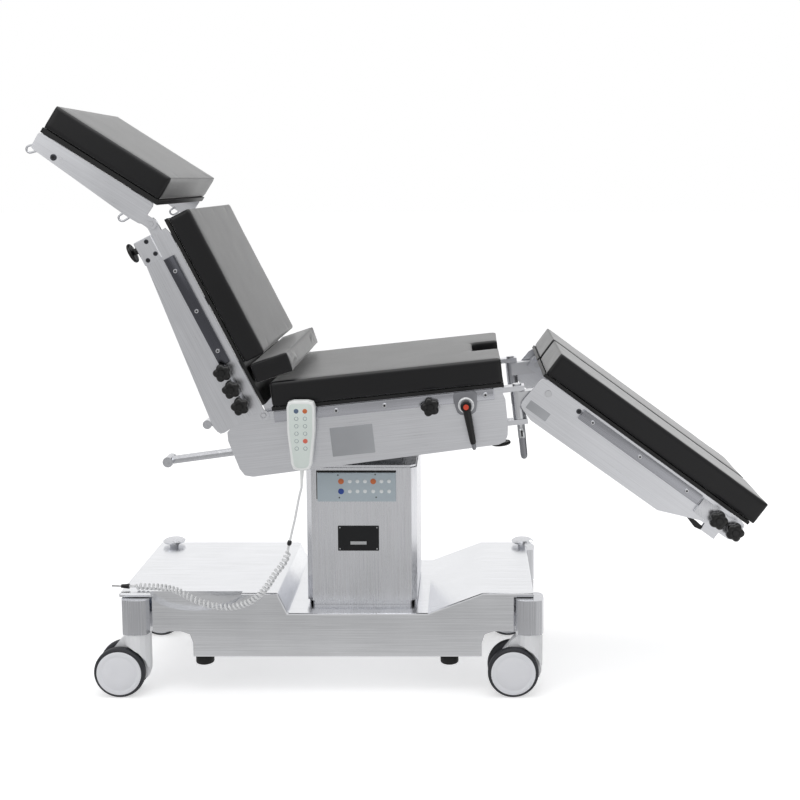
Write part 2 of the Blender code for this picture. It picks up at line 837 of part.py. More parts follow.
def build_drives():
    """Power unit with its motor and controller, and the battery, on the chassis beam."""
    floor_z = BEAM_TOP_Z + GAP
    tank = solid(
        "power_unit",
        box(
            (DRIVE_X - TANK_LENGTH, -TANK_HALF_WIDTH, floor_z),
            (DRIVE_X, TANK_HALF_WIDTH, floor_z + TANK_HEIGHT),
            COVER_EDGE_RADIUS,
        ),
        BLUE_ENAMEL,
    )
    motor_z = floor_z + MOTOR_RADIUS
    join(
        tank,
        rod((DRIVE_X - OVERRUN, 0, motor_z), (DRIVE_X + MOTOR_LENGTH, 0, motor_z), MOTOR_RADIUS * 0.98),
        box(
            (DRIVE_X + MOTOR_LENGTH / 2, -CONTROLLER_WIDTH / 2, floor_z),
            (DRIVE_X + CONTROLLER_LENGTH, CONTROLLER_WIDTH / 2, floor_z + CONTROLLER_HEIGHT),
            CUSHION_EDGE / 2,
        ),
    )
    solid(
        "battery_pack",
        box(
            (BATTERY_X - BATTERY_LENGTH / 2, -BATTERY_WIDTH / 2, floor_z),
            (BATTERY_X + BATTERY_LENGTH / 2 - POST_SIDE / 2, BATTERY_WIDTH / 2, floor_z + BATTERY_HEIGHT),
            CUSHION_EDGE / 2,
        ),
        BLACK_PLASTIC,
    )


def build_feet(name, x):
    """A cross bar with a rubber-tipped foot at each end."""
    feet = solid(
        name,
        box(
            (x - FEET_BAR_WIDTH / 2, -FEET_Y - FEET_BAR_WIDTH / 2, FEET_BAR_BOTTOM_Z),
            (x + FEET_BAR_WIDTH / 2, FEET_Y + FEET_BAR_WIDTH / 2, FEET_BAR_TOP_Z),
        ),
        BLACK_RUBBER,
    )
    pads = []
    for y in (-FEET_Y, FEET_Y):
        neck = FOOT_BOTTOM_Z + FOOT_PAD_HEIGHT
        pads.append(rod((x, y, FOOT_BOTTOM_Z), (x, y, neck), FOOT_RADIUS * 0.85, FOOT_RADIUS))
        pads.append(rod((x, y, neck - SINK), (x, y, FEET_BAR_BOTTOM_Z + SINK), FOOT_RADIUS * 0.7))
    for y in (-GUIDE_ROD_Y, GUIDE_ROD_Y):
        pads.append(
            rod((x, y, FEET_BAR_TOP_Z - SINK), (x, y, GUIDE_ROD_TOP_Z), GUIDE_ROD_RADIUS, sides=SMALL_SIDES)
        )
    join(feet, *pads)


def build_casters():
    """Hood with its stem, and the wheel pair on its axle, for each corner."""
    for name, x, y in caster_places():
        swivel = axes(f"swivel_{name}", ROOT, (x, y, 0))
        stem = AXLE_RADIUS * 1.5
        hood = solid(
            f"caster_hood_{name}",
            rod((0, 0, HOOD_BOTTOM_Z + WHEEL_RADIUS / 2), (0, 0, HOOD_TOP_Z), HOOD_RADIUS),
            WHITE_PLASTIC,
            swivel,
        )
        web = rounded(
            [
                (-TRAIL - WHEEL_RADIUS * 0.25, WHEEL_RADIUS * 0.72),
                (HOOD_RADIUS * 0.9, WHEEL_RADIUS * 0.6),
                (HOOD_RADIUS * 0.9, HOOD_TOP_Z - 2 * OVERRUN),
                (-HOOD_RADIUS, HOOD_TOP_Z - 2 * OVERRUN),
                (-TRAIL - WHEEL_RADIUS * 0.5, WHEEL_RADIUS * 1.6),
            ],
            POST_RADIUS,
        )
        join(
            hood,
            plate(web, -HOOD_WIDTH / 2, HOOD_WIDTH / 2),
            rod((0, 0, HOOD_TOP_Z - SINK), (0, 0, HOOD_TOP_Z + POST_SIDE / 2), stem, sides=SMALL_SIDES),
        )
        wheel_cut = WHEEL_RADIUS + 2 * COVER_WALL
        faces = WHEEL_SPACING / 2 + WHEEL_WIDTH / 2 + COVER_WALL
        cut(
            hood,
            rod((-TRAIL, -faces - HOOD_RADIUS, WHEEL_RADIUS), (-TRAIL, -HOOD_WIDTH / 2, WHEEL_RADIUS), wheel_cut),
            rod((-TRAIL, HOOD_WIDTH / 2, WHEEL_RADIUS), (-TRAIL, faces + HOOD_RADIUS, WHEEL_RADIUS), wheel_cut),
            rod(
                (-TRAIL, -faces, WHEEL_RADIUS),
                (-TRAIL, faces, WHEEL_RADIUS),
                AXLE_RADIUS + RUN_CLEARANCE,
                sides=SMALL_SIDES,
            ),
        )
        axle = axes(f"axle_{name}", swivel, (-TRAIL, 0, WHEEL_RADIUS))
        reach = (WHEEL_SPACING + WHEEL_WIDTH) / 2
        wheels = solid(
            f"wheels_{name}",
            rod((0, -reach + SINK, 0), (0, reach - SINK, 0), AXLE_RADIUS, sides=SMALL_SIDES),
            BLACK_RUBBER,
            axle,
        )
        round_over = WHEEL_WIDTH * 0.25
        tread = [
            (0, WHEEL_WIDTH / 2),
            (WHEEL_RADIUS * 0.92, WHEEL_WIDTH / 2),
            (WHEEL_RADIUS, WHEEL_WIDTH / 2 - round_over),
            (WHEEL_RADIUS, -WHEEL_WIDTH / 2 + round_over),
            (WHEEL_RADIUS * 0.92, -WHEEL_WIDTH / 2),
            (0, -WHEEL_WIDTH / 2),
        ]
        join(
            wheels,
            *[
                moved(
                    turned(tread, 16),
                    Matrix.Translation((0, side * WHEEL_SPACING / 2, 0)) @ AXES["Y"],
                )
                for side in (-1, 1)
            ],
        )


def chamfered(half_length, half_width, chamfer):
    """A rectangle with cut corners, as (x, y) points round the column's axis."""
    return [
        (sx * (half_length - cx), sy * (half_width - cy))
        for sx, sy, cx, cy in (
            (-1, -1, chamfer, 0),
            (1, -1, chamfer, 0),
            (1, -1, 0, chamfer),
            (1, 1, 0, chamfer),
            (1, 1, chamfer, 0),
            (-1, 1, chamfer, 0),
            (-1, 1, 0, chamfer),
            (-1, -1, 0, chamfer),
        )
    ]


def upright(outline, low, high, centre_x=COLUMN_X):
    """An outline in X and Y raised from one height to another."""
    mesh = plate([(x, -y) for x, y in outline], low, high)
    return moved(mesh, Matrix.Translation((centre_x, 0, 0)) @ Matrix.Rotation(math.radians(90), 4, "X"))


def build_column():
    """Fixed cover, collar, wiper and panel, then what the lift raises."""
    half_length, half_width = COLUMN_LENGTH / 2, COLUMN_WIDTH / 2
    cover_bottom = DECK_Z + COLLAR_HEIGHT
    cover = solid(
        "column_cover",
        upright(chamfered(half_length, half_width, COLUMN_CHAMFER), cover_bottom, COLUMN_TOP_Z),
        BRIGHT_STEEL,
    )
    set_back = chamfered(half_length - COLLAR_SET_BACK, half_width - COLLAR_SET_BACK, COLUMN_CHAMFER)
    lip = chamfered(half_length - COLUMN_WALL, half_width - COLUMN_WALL, COLUMN_CHAMFER)
    join(
        cover,
        upright(set_back, DECK_Z + GAP, cover_bottom + SINK),
        upright(lip, COLUMN_TOP_Z - SINK, COLUMN_TOP_Z + WIPER_HEIGHT),
    )
    wall = COLLAR_SET_BACK + COLUMN_WALL
    bore_x = half_length - wall
    bore_y = half_width - wall
    hole_x = INNER_LENGTH / 2 + RUN_CLEARANCE * 2
    hole_y = INNER_WIDTH / 2 + RUN_CLEARANCE * 2
    cut(
        cover,
        box(
            (COLUMN_X - bore_x, -bore_y, DECK_Z - OVERRUN),
            (COLUMN_X + bore_x, bore_y, COLUMN_TOP_Z - COLUMN_WALL),
        ),
        box(
            (COLUMN_X - hole_x, -hole_y, COLUMN_TOP_Z - COLLAR_HEIGHT),
            (COLUMN_X + hole_x, hole_y, COLUMN_TOP_Z + COLLAR_HEIGHT),
        ),
    )
    front = -half_width
    solid(
        "control_panel",
        box(
            (COLUMN_X + PANEL_HEAD_EDGE, front - GAP - PANEL_THICKNESS, PANEL_BOTTOM_Z),
            (COLUMN_X + PANEL_FOOT_EDGE, front - GAP, PANEL_TOP_Z),
            PANEL_THICKNESS / 4,
        ),
        PANEL_FILM,
    )
    build_lift()


def build_lift():
    """Inner column with its yoke, the lift rod, and the block between both tilt axes."""
    plate_low = COLUMN_TOP_Z + WIPER_HEIGHT + GAP
    plate_high = plate_low + HEAD_PLATE_HEIGHT
    half_x, half_y = INNER_LENGTH / 2, INNER_WIDTH / 2
    inner = solid(
        "inner_column",
        box(
            (COLUMN_X - half_x, -half_y, INNER_BOTTOM_Z),
            (COLUMN_X + half_x, half_y, plate_high),
        ),
        DARK_STEEL,
    )
    cut(
        inner,
        box(
            (COLUMN_X - half_x + INNER_WALL, -half_y + INNER_WALL, INNER_BOTTOM_Z - OVERRUN),
            (COLUMN_X + half_x - INNER_WALL, half_y - INNER_WALL, plate_low),
        ),
    )
    top_z = TILT_AXIS_Z + YOKE_HALF_LENGTH
    outline = round_topped(
        COLUMN_X - YOKE_HALF_LENGTH, COLUMN_X + YOKE_HALF_LENGTH, plate_high - SINK, top_z
    )
    ear = plate(outline, YOKE_INNER_Y, YOKE_INNER_Y + YOKE_THICKNESS)
    lift_rod = rod((COLUMN_X, 0, INNER_BOTTOM_Z), (COLUMN_X, 0, plate_low + SINK), LIFT_ROD_RADIUS)
    join(inner, *both(ear), lift_rod)
    reach = YOKE_INNER_Y + YOKE_THICKNESS + OVERRUN
    cut(
        inner,
        rod(
            (COLUMN_X, -reach, TILT_AXIS_Z),
            (COLUMN_X, reach, TILT_AXIS_Z),
            TRUNNION_RADIUS + RUN_CLEARANCE,
        ),
    )
    block = solid(
        "trunnion_block",
        box(
            (-BLOCK_LENGTH / 2, -BLOCK_WIDTH / 2, -BLOCK_HEIGHT / 2),
            (BLOCK_LENGTH / 2, BLOCK_WIDTH / 2, BLOCK_HEIGHT / 2),
            YOKE_THICKNESS / 3,
        ),
        DARK_STEEL,
        SEAT,
    )
    along = BEAM_X + BEAM_THICKNESS / 2 + SINK
    across = YOKE_INNER_Y + YOKE_THICKNESS + SINK
    join(
        block,
        rod((-along, 0, 0), (along, 0, 0), TRUNNION_RADIUS),
        rod((0, -across, 0), (0, across, 0), TRUNNION_RADIUS),
    )


def cushion(name, outline, y_low, y_high, parent, edge=CUSHION_EDGE):
    """A moulded foam cushion: its outline seen from the side, and its width."""
    made = solid(name, plate(outline, y_low, y_high), BLACK_LEATHER, parent)
    step = made.modifiers.new("edge", "BEVEL")
    step.width = edge
    step.segments = 2
    step.limit_method = "ANGLE"
    step.angle_limit = math.radians(40)
    return made


def round_topped(x_low, x_high, z_low, z_high, steps=8):
    """An upright strip with a half-round top."""
    radius = (x_high - x_low) / 2
    centre_x = x_low + radius
    centre_z = z_high - radius
    arc = [math.pi * i / steps for i in range(steps + 1)]
    top = [(centre_x + radius * math.cos(a), centre_z + radius * math.sin(a)) for a in arc]
    return [(x_low, z_low), (x_high, z_low), *top]


def rectangle(x_low, x_high, z_low, z_high):
    """Four corners of an upright rectangle."""
    return [(x_low, z_low), (x_high, z_low), (x_high, z_high), (x_low, z_high)]


def build_seat():
    """Frame, board, cushion, push handle, rail clamp and knobs of the seat section."""
    sheet_in = SEAT_SHEET_Y - SHEET
    side = plate(rounded(SEAT_OUTLINE, CORNER_RADIUS), sheet_in, SEAT_SHEET_Y)
    frame = solid("seat_frame", side, STEEL, SEAT)
    width = sheet_in + SINK
    top = SEAT_TOP - SINK
    rail = box(
        (SEAT_RAIL_HEAD_END, SEAT_SHEET_Y - SINK, SEAT_RAIL_TOP - RAIL_HEIGHT),
        (SEAT_RAIL_FOOT_END, SEAT_SHEET_Y + RAIL_DEPTH, SEAT_RAIL_TOP),
    )
    shapes = [mirrored(side), *both(rail)]
    shapes.append(
        box(
            (REAR_MEMBER_X - BEAM_THICKNESS, -width, REAR_MEMBER_BOTTOM),
            (REAR_MEMBER_X + BEAM_THICKNESS, width, top),
        )
    )
    for x in (-BEAM_X, BEAM_X):
        low_x, high_x = x - BEAM_THICKNESS / 2, x + BEAM_THICKNESS / 2
        shapes.append(box((low_x, -width, BEAM_BOTTOM), (high_x, width, top)))
        shapes.append(
            box((low_x, -HANGER_HALF_WIDTH, HANGER_BOTTOM), (high_x, HANGER_HALF_WIDTH, BEAM_BOTTOM + SINK))
        )
    front_high = FRONT_MEMBER_X + FRONT_MEMBER_LENGTH / 2
    shapes.append(
        box(
            (FRONT_MEMBER_X - FRONT_MEMBER_LENGTH / 2, -width, FRONT_MEMBER_BOTTOM),
            (front_high, width, top),
        )
    )
    shapes.append(
        box(
            (FRONT_MEMBER_X - FRONT_MEMBER_LENGTH / 2 + GAP, -FRONT_BOX_HALF_WIDTH, FRONT_BOX_BOTTOM),
            (front_high - GAP, FRONT_BOX_HALF_WIDTH, FRONT_MEMBER_BOTTOM + SINK),
        )
    )
    lug_end = SWING_X + SWING_LUG_REACH
    for low, high in (
        (SWING_LUG_TOP - SWING_LUG_THICKNESS, SWING_LUG_TOP),
        (SWING_LUG_BOTTOM, SWING_LUG_BOTTOM + SWING_LUG_THICKNESS),
    ):
        shapes += both(
            box(
                (front_high - SINK, SWING_Y - SWING_LUG_HALF_WIDTH, low),
                (lug_end, SWING_Y + SWING_LUG_HALF_WIDTH, high),
            )
        )
    pin_out = OUTER_SHEET_Y + SINK
    shapes += both(
        rod(
            (BACK_HINGE_X, sheet_in + SINK, BACK_HINGE_Z),
            (BACK_HINGE_X, pin_out, BACK_HINGE_Z),
            PIN_RADIUS,
            sides=SMALL_SIDES,
        )
    )
    shapes += rail_clamp()
    join(frame, *shapes)
    hinge_holes = []
    for y in (-SWING_Y, SWING_Y):
        hinge_holes.append(
            rod(
                (SWING_X, y, SWING_LUG_BOTTOM - OVERRUN),
                (SWING_X, y, SWING_LUG_TOP + OVERRUN),
                SWING_PIN_RADIUS + RUN_CLEARANCE,
                sides=SMALL_SIDES,
            )
        )
    shaft = BEAM_X + BEAM_THICKNESS
    hinge_holes.append(rod((-shaft, 0, 0), (shaft, 0, 0), TRUNNION_RADIUS + RUN_CLEARANCE))
    cut(frame, *hinge_holes)

    board_low = SEAT_TOP + GAP
    board_high = board_low + BOARD_THICKNESS
    half_board = BOARD_WIDTH / 2
    board = solid(
        "seat_board",
        box((SEAT_HEAD_END, -half_board, board_low), (SEAT_FOOT_END, half_board, board_high)),
        BLACK_PLASTIC,
        SEAT,
    )
    notch_start = SEAT_FOOT_END - NOTCH_DEPTH
    notch_end = SEAT_FOOT_END + OVERRUN
    cushion_low = board_high + GAP
    cushion_high = cushion_low + CUSHION_THICKNESS
    cut(
        board,
        box((notch_start, -NOTCH_WIDTH / 2, board_low - OVERRUN), (notch_end, NOTCH_WIDTH / 2, cushion_high)),
    )
    half = SECTION_WIDTH / 2
    notched = [
        (SEAT_HEAD_END, -half),
        (SEAT_FOOT_END, -half),
        (SEAT_FOOT_END, -NOTCH_WIDTH / 2),
        (notch_start, -NOTCH_WIDTH / 2),
        (notch_start, NOTCH_WIDTH / 2),
        (SEAT_FOOT_END, NOTCH_WIDTH / 2),
        (SEAT_FOOT_END, half),
        (SEAT_HEAD_END, half),
    ]
    top_cushion = solid("seat_cushion", upright(notched, cushion_low, cushion_high, 0.0), BLACK_LEATHER, SEAT)
    step = top_cushion.modifiers.new("edge", "BEVEL")
    step.width = CUSHION_EDGE * 1.3
    step.segments = 2
    step.limit_method = "ANGLE"
    step.angle_limit = math.radians(40)

    plate_top = REAR_MEMBER_BOTTOM - GAP
    plate_start, plate_end = HANDLE_PLATE_X
    handle = solid(
        "push_handle",
        box(
            (plate_start, -HANDLE_ARM_Y, plate_top - HANDLE_PLATE_THICKNESS),
            (plate_end, HANDLE_ARM_Y, plate_top),
        ),
        BRIGHT_STEEL,
        SEAT,
    )
    lug = box(
        (plate_start, HANDLE_ARM_Y - HANDLE_ARM_RADIUS * 0.9, HANDLE_ROOT_Z),
        (plate_end, HANDLE_ARM_Y + HANDLE_ARM_RADIUS * 0.9, plate_top),
    )
    arm = rod(
        (HANDLE_X, HANDLE_ARM_Y, HANDLE_Z),
        (HANDLE_ROOT_X, HANDLE_ARM_Y, HANDLE_ROOT_Z),
        HANDLE_ARM_RADIUS,
        sides=SMALL_SIDES,
    )
    grip = rod(
        (HANDLE_X, HANDLE_ARM_Y - HANDLE_GRIP_HALF_LENGTH, HANDLE_Z),
        (HANDLE_X, HANDLE_ARM_Y + HANDLE_GRIP_HALF_LENGTH, HANDLE_Z),
        HANDLE_GRIP_RADIUS,
    )
    join(handle, *both(lug), *both(arm), *both(grip))
    build_back_cylinder()
    build_seat_controls()


def build_back_cylinder():
    """Hydraulic cylinder fixed to the seat frame, its rod pointing at the back section."""
    y = BACK_BARREL_Y
    root = Vector((BACK_BARREL_ROOT[0], y, BACK_BARREL_ROOT[1]))
    tip = Vector((BACK_BARREL_TIP[0], y, BACK_BARREL_TIP[1]))
    rod_tip = Vector((BACK_ROD_TIP[0], y, BACK_ROD_TIP[1]))
    barrel = solid(
        "back_cylinder",
        rod(root, tip, BACK_BARREL_RADIUS),
        DARK_STEEL,
        SEAT,
    )
    beam_face = -BEAM_X - BEAM_THICKNESS / 2 - GAP
    lug = box(
        (beam_face - BEAM_THICKNESS * 3, y - BACK_ROD_RADIUS, BACK_BARREL_ROOT[1] - BACK_ROD_RADIUS),
        (beam_face, y + BACK_ROD_RADIUS, BEAM_BOTTOM + BEAM_THICKNESS),
    )
    join(
        barrel,
        lug,
        rod(tip.lerp(root, BACK_ROD_RADIUS / BACK_BARREL_RADIUS), rod_tip, BACK_ROD_RADIUS, sides=SMALL_SIDES),
    )


def star_mesh():
    """A star knob on its stem: the stem starts at the origin and points along -Y."""
    lobes = 5
    steps = 20
    outline = []
    for i in range(steps):
        angle = 2 * math.pi * i / steps
        radius = STAR_RADIUS + STAR_LOBE_DEPTH * math.cos(lobes * angle)
        outline.append((radius * math.cos(angle), radius * math.sin(angle)))
    head_start = -STAR_STEM_LENGTH - STAR_THICKNESS
    grip = plate(outline, head_start, -STAR_STEM_LENGTH)
    stem = rod((0, 0, 0), (0, -STAR_STEM_LENGTH - SINK, 0), STAR_STEM_RADIUS, sides=SMALL_SIDES)
    return grip, stem


def star_knob(name, place, parent, side=RIGHT):
    """A star knob whose stem stands on a side face."""
    holder = axes(f"axis_{name}", parent, place)
    grip, stem = star_mesh()
    if side == LEFT:
        grip, stem = mirrored(grip), mirrored(stem)
    knob = solid(name, grip, BLACK_PLASTIC, holder)
    join(knob, stem)
    return knob


def disc_knob(name, place, parent):
    """A mushroom knob hanging from a face that looks down."""
    holder = axes(f"axis_{name}", parent, place)
    top = -DISC_STEM_LENGTH
    bottom = top - DISC_THICKNESS
    profile = [
        (0, 0),
        (DISC_STEM_RADIUS, 0),
        (DISC_STEM_RADIUS, top),
        (DISC_RADIUS * 0.96, top - DISC_THICKNESS * 0.15),
        (DISC_RADIUS, top - DISC_THICKNESS * 0.5),
        (DISC_RADIUS * 0.85, bottom),
        (0, bottom),
    ]
    return solid(name, turned(profile), BLACK_PLASTIC, holder)


def rail_clamp():
    """Shield plate and hub of the clamp on the near rail, welded to the seat frame."""
    rail_face = -SEAT_SHEET_Y - RAIL_DEPTH
    clamp_x, clamp_z = CLAMP
    shield = rounded(
        [
            (clamp_x - CLAMP_PLATE_HALF_WIDTH, CLAMP_PLATE_TOP - 2 * SINK),
            (clamp_x - CLAMP_PLATE_HALF_WIDTH * 0.75, CLAMP_PLATE_BOTTOM),
            (clamp_x + CLAMP_PLATE_HALF_WIDTH * 0.75, CLAMP_PLATE_BOTTOM),
            (clamp_x + CLAMP_PLATE_HALF_WIDTH, CLAMP_PLATE_TOP - 2 * SINK),
        ],
        CLAMP_PLATE_THICKNESS,
    )
    plate_face = rail_face - CLAMP_PLATE_THICKNESS
    hub_face = plate_face - CLAMP_HUB_LENGTH
    return [
        plate(shield, plate_face, rail_face + SINK),
        rod((clamp_x, plate_face + SINK, clamp_z), (clamp_x, hub_face, clamp_z), CLAMP_HUB_RADIUS),
    ]


def build_seat_controls():
    """Clamp lever with its button, the star knob and the disc knob."""
    rail_face = -SEAT_SHEET_Y - RAIL_DEPTH - GAP
    star_knob("seat_star_knob", (SEAT_STAR[0], rail_face, SEAT_STAR[1]), SEAT)
    disc_knob("seat_disc_knob", (*SEAT_DISC, FRONT_BOX_BOTTOM - GAP), SEAT)
    clamp_x, clamp_z = CLAMP
    hub_face = rail_face + GAP - CLAMP_PLATE_THICKNESS - CLAMP_HUB_LENGTH
    lever_axis = axes("axis_clamp_lever", SEAT, (clamp_x, hub_face - GAP, clamp_z))
    thickness = CLAMP_LEVER_THICKNESS
    boss_end = -thickness * 1.5
    lever = solid(
        "clamp_lever",
        rod((0, 0, 0), (0, boss_end, 0), CLAMP_BOSS_RADIUS),
        BLACK_PLASTIC,
        lever_axis,
    )
    button_seat = boss_end + CLAMP_BUTTON_RISE * 2
    tip = Vector((CLAMP_LEVER_LEAN, boss_end / 2 - OVERRUN, -CLAMP_LEVER_REACH))
    join(
        lever,
        rod((0, boss_end / 2, 0), tip, thickness * 0.55, thickness * 0.62, sides=SMALL_SIDES),
    )
    cut(
        lever,
        rod((0, button_seat, 0), (0, boss_end - OVERRUN, 0), CLAMP_BUTTON_RADIUS + RUN_CLEARANCE),
    )
    solid(
        "clamp_button",
        rod(
            (0, button_seat - CLAMP_BUTTON_RISE, 0),
            (0, boss_end - CLAMP_BUTTON_RISE, 0),
            CLAMP_BUTTON_RADIUS,
        ),
        RED_PLASTIC,
        lever_axis,
    )


def back_outline(points):
    """Back-section places, measured away from the seat, as places in its own frame."""
    return [(-x, z) for x, z in points]


def build_back():
    """Frame, board, cushion and knobs of the back section."""
    inner = OUTER_SHEET_Y - SHEET
    side = plate(rounded(back_outline(BACK_OUTLINE), CORNER_RADIUS / 2), inner, OUTER_SHEET_Y)
    frame = solid("back_frame", side, STEEL, BACK)
    lug = rod((0, inner - GAP, 0), (0, OUTER_SHEET_Y + GAP, 0), BACK_LUG_RADIUS)
    neck = box(
        (-BACK_LUG_RADIUS * 3, inner + GAP, -BACK_LUG_RADIUS + GAP),
        (0, OUTER_SHEET_Y - GAP, BACK_TOP - GAP),
    )
    arm = plate(
        rounded(
            back_outline(
                [
                    (HEAD_BLOCK_END - CORNER_RADIUS, HEAD_ARM_TOP),
                    (HEAD_BLOCK_END - CORNER_RADIUS, HEAD_ARM_BOTTOM),
                    (HEAD_HINGE_ALONG + HEAD_LUG_RADIUS, HEAD_ARM_BOTTOM),
                    (HEAD_HINGE_ALONG + HEAD_LUG_RADIUS, HEAD_ARM_TOP),
                ]
            ),
            HEAD_LUG_RADIUS,
        ),
        SEAT_SHEET_Y - 2 * SHEET,
        SEAT_SHEET_Y - GAP,
    )
    arm_root = box(
        (-HEAD_BLOCK_END + SINK, SEAT_SHEET_Y - 2 * SHEET + GAP, HEAD_ARM_BOTTOM - 2 * SINK),
        (-HEAD_BLOCK_START - SINK, inner + SINK, HEAD_ARM_TOP - SINK),
    )
    block = box(
        (-HEAD_BLOCK_END, HEAD_BLOCK_INNER_Y, HEAD_BLOCK_BOTTOM),
        (-HEAD_BLOCK_START, OUTER_SHEET_Y + SHEET * 0.7, HEAD_BLOCK_TOP),
        SHEET / 2,
    )
    rail = box(
        (-BACK_RAIL_END, OUTER_SHEET_Y - SINK, BACK_RAIL_TOP - RAIL_HEIGHT),
        (-BACK_RAIL_START, OUTER_SHEET_Y + RAIL_DEPTH, BACK_RAIL_TOP),
    )
    knob_bar = box(
        (
            -BACK_KNOB_PLACES[0] - KNOB_BAR_MARGIN,
            OUTER_SHEET_Y - SINK,
            BACK_KNOB_HEIGHT - KNOB_BAR_MARGIN / 2,
        ),
        (
            -BACK_KNOB_PLACES[-1] + KNOB_BAR_MARGIN,
            OUTER_SHEET_Y + RAIL_DEPTH,
            BACK_KNOB_HEIGHT + KNOB_BAR_MARGIN / 2,
        ),
    )
    head_pin = rod(
        (-HEAD_HINGE_ALONG, SEAT_SHEET_Y - SHEET, HEAD_HINGE_UP),
        (-HEAD_HINGE_ALONG, OUTER_SHEET_Y + SINK, HEAD_HINGE_UP),
        PIN_RADIUS,
        sides=SMALL_SIDES,
    )
    shapes = [mirrored(side)]
    for mesh in (lug, neck, arm, arm_root, block, rail, knob_bar, head_pin):
        shapes += both(mesh)
    for place in BACK_MEMBER_PLACES:
        shapes.append(
            box(
                (-place - BACK_MEMBER_LENGTH, -inner - SINK, BACK_MEMBER_BOTTOM),
                (-place, inner + SINK, BACK_MEMBER_TOP),
            )
        )
    join(frame, *shapes)
    cut(
        frame,
        rod(
            (0, -OUTER_SHEET_Y - OVERRUN, 0),
            (0, OUTER_SHEET_Y + OVERRUN, 0),
            PIN_RADIUS + RUN_CLEARANCE * 2,
        ),
    )
    board_low = BACK_TOP + GAP
    board_high = board_low + BOARD_THICKNESS
    board = solid(
        "back_board",
        box(
            (-BACK_BOARD_END, -BOARD_WIDTH / 2, board_low),
            (-BACK_BOARD_START, BOARD_WIDTH / 2, board_high),
        ),
        BLACK_PLASTIC,
        BACK,
    )
    lug_top = KIDNEY_HINGE_UP + LUG_HALF_LENGTH
    ears = []
    for y in (-LUG_SPACING / 2, LUG_SPACING / 2 - LUG_THICKNESS):
        ear = round_topped(
            -KIDNEY_HINGE_ALONG - LUG_HALF_LENGTH,
            -KIDNEY_HINGE_ALONG + LUG_HALF_LENGTH,
            board_low + SINK,
            lug_top,
        )
        ears.append(plate(ear, y, y + LUG_THICKNESS))
    join(board, *ears)
    cut(
        board,
        rod(
            (-KIDNEY_HINGE_ALONG, -LUG_SPACING, KIDNEY_HINGE_UP),
            (-KIDNEY_HINGE_ALONG, LUG_SPACING, KIDNEY_HINGE_UP),
            KIDNEY_PIN_RADIUS + RUN_CLEARANCE,
            sides=SMALL_SIDES,
        ),
    )
    cushion_low = board_high + GAP
    half = SECTION_WIDTH / 2
    cushion(
        "back_cushion",
        rectangle(-BACK_CUSHION_END, -BACK_CUSHION_START, cushion_low, cushion_low + BACK_CUSHION_THICKNESS),
        -half,
        half,
        BACK,
    )
    face = -OUTER_SHEET_Y - RAIL_DEPTH - GAP
    for number, place in enumerate(BACK_KNOB_PLACES, 1):
        star_knob(f"back_star_knob_{number}", (-place, face, BACK_KNOB_HEIGHT), BACK)
    knob_y = -(HEAD_BLOCK_INNER_Y + OUTER_SHEET_Y) / 2
    disc_knob("head_lock_knob", (-HEAD_DISC_ALONG, knob_y, HEAD_BLOCK_BOTTOM - GAP), BACK)
    build_kidney()


def build_kidney():
    """The small cushion between back and seat, and the bracket that its pin sits in."""
    round_centre_x = -KIDNEY_HEAD_SIDE + KIDNEY_ROUND
    round_centre_z = -KIDNEY_BELOW + KIDNEY_ROUND
    outline = [(KIDNEY_FOOT_SIDE, -KIDNEY_BELOW), (KIDNEY_FOOT_SIDE, KIDNEY_ABOVE)]
    outline.append((-KIDNEY_HEAD_SIDE, KIDNEY_ABOVE))
    steps = 5
    for i in range(steps + 1):
        angle = math.pi + math.pi / 2 * i / steps
        outline.append(
            (
                round_centre_x + KIDNEY_ROUND * math.cos(angle),
                round_centre_z + KIDNEY_ROUND * math.sin(angle),
            )
        )
    half = SECTION_WIDTH / 2
    pad = cushion("kidney_cushion", outline, -half, half, KIDNEY)
    slot = KIDNEY_SLOT_WIDTH / 2
    cut(
        pad,
        box(
            (-KIDNEY_HEAD_SIDE - OVERRUN, -slot, -KIDNEY_BELOW - OVERRUN),
            (KIDNEY_SLOT_REACH, slot, KIDNEY_SLOT_REACH),
        ),
    )
    wall_out = slot - GAP
    wall_in = wall_out - BRACKET_WALL
    top_out = KIDNEY_SLOT_REACH - GAP
    bracket = solid(
        "kidney_bracket",
        box(
            (-KIDNEY_SLOT_REACH, -wall_out, top_out - BRACKET_WALL),
            (KIDNEY_SLOT_REACH - GAP, wall_out, top_out),
        ),
        STEEL,
        KIDNEY,
    )
    cheek = box(
        (-LUG_HALF_LENGTH, wall_in, -LUG_HALF_LENGTH),
        (LUG_HALF_LENGTH, wall_out, top_out - SINK),
    )
    pin = rod((0, -wall_out + SINK, 0), (0, wall_out - SINK, 0), KIDNEY_PIN_RADIUS, sides=SMALL_SIDES)
    join(bracket, *both(cheek), pin)


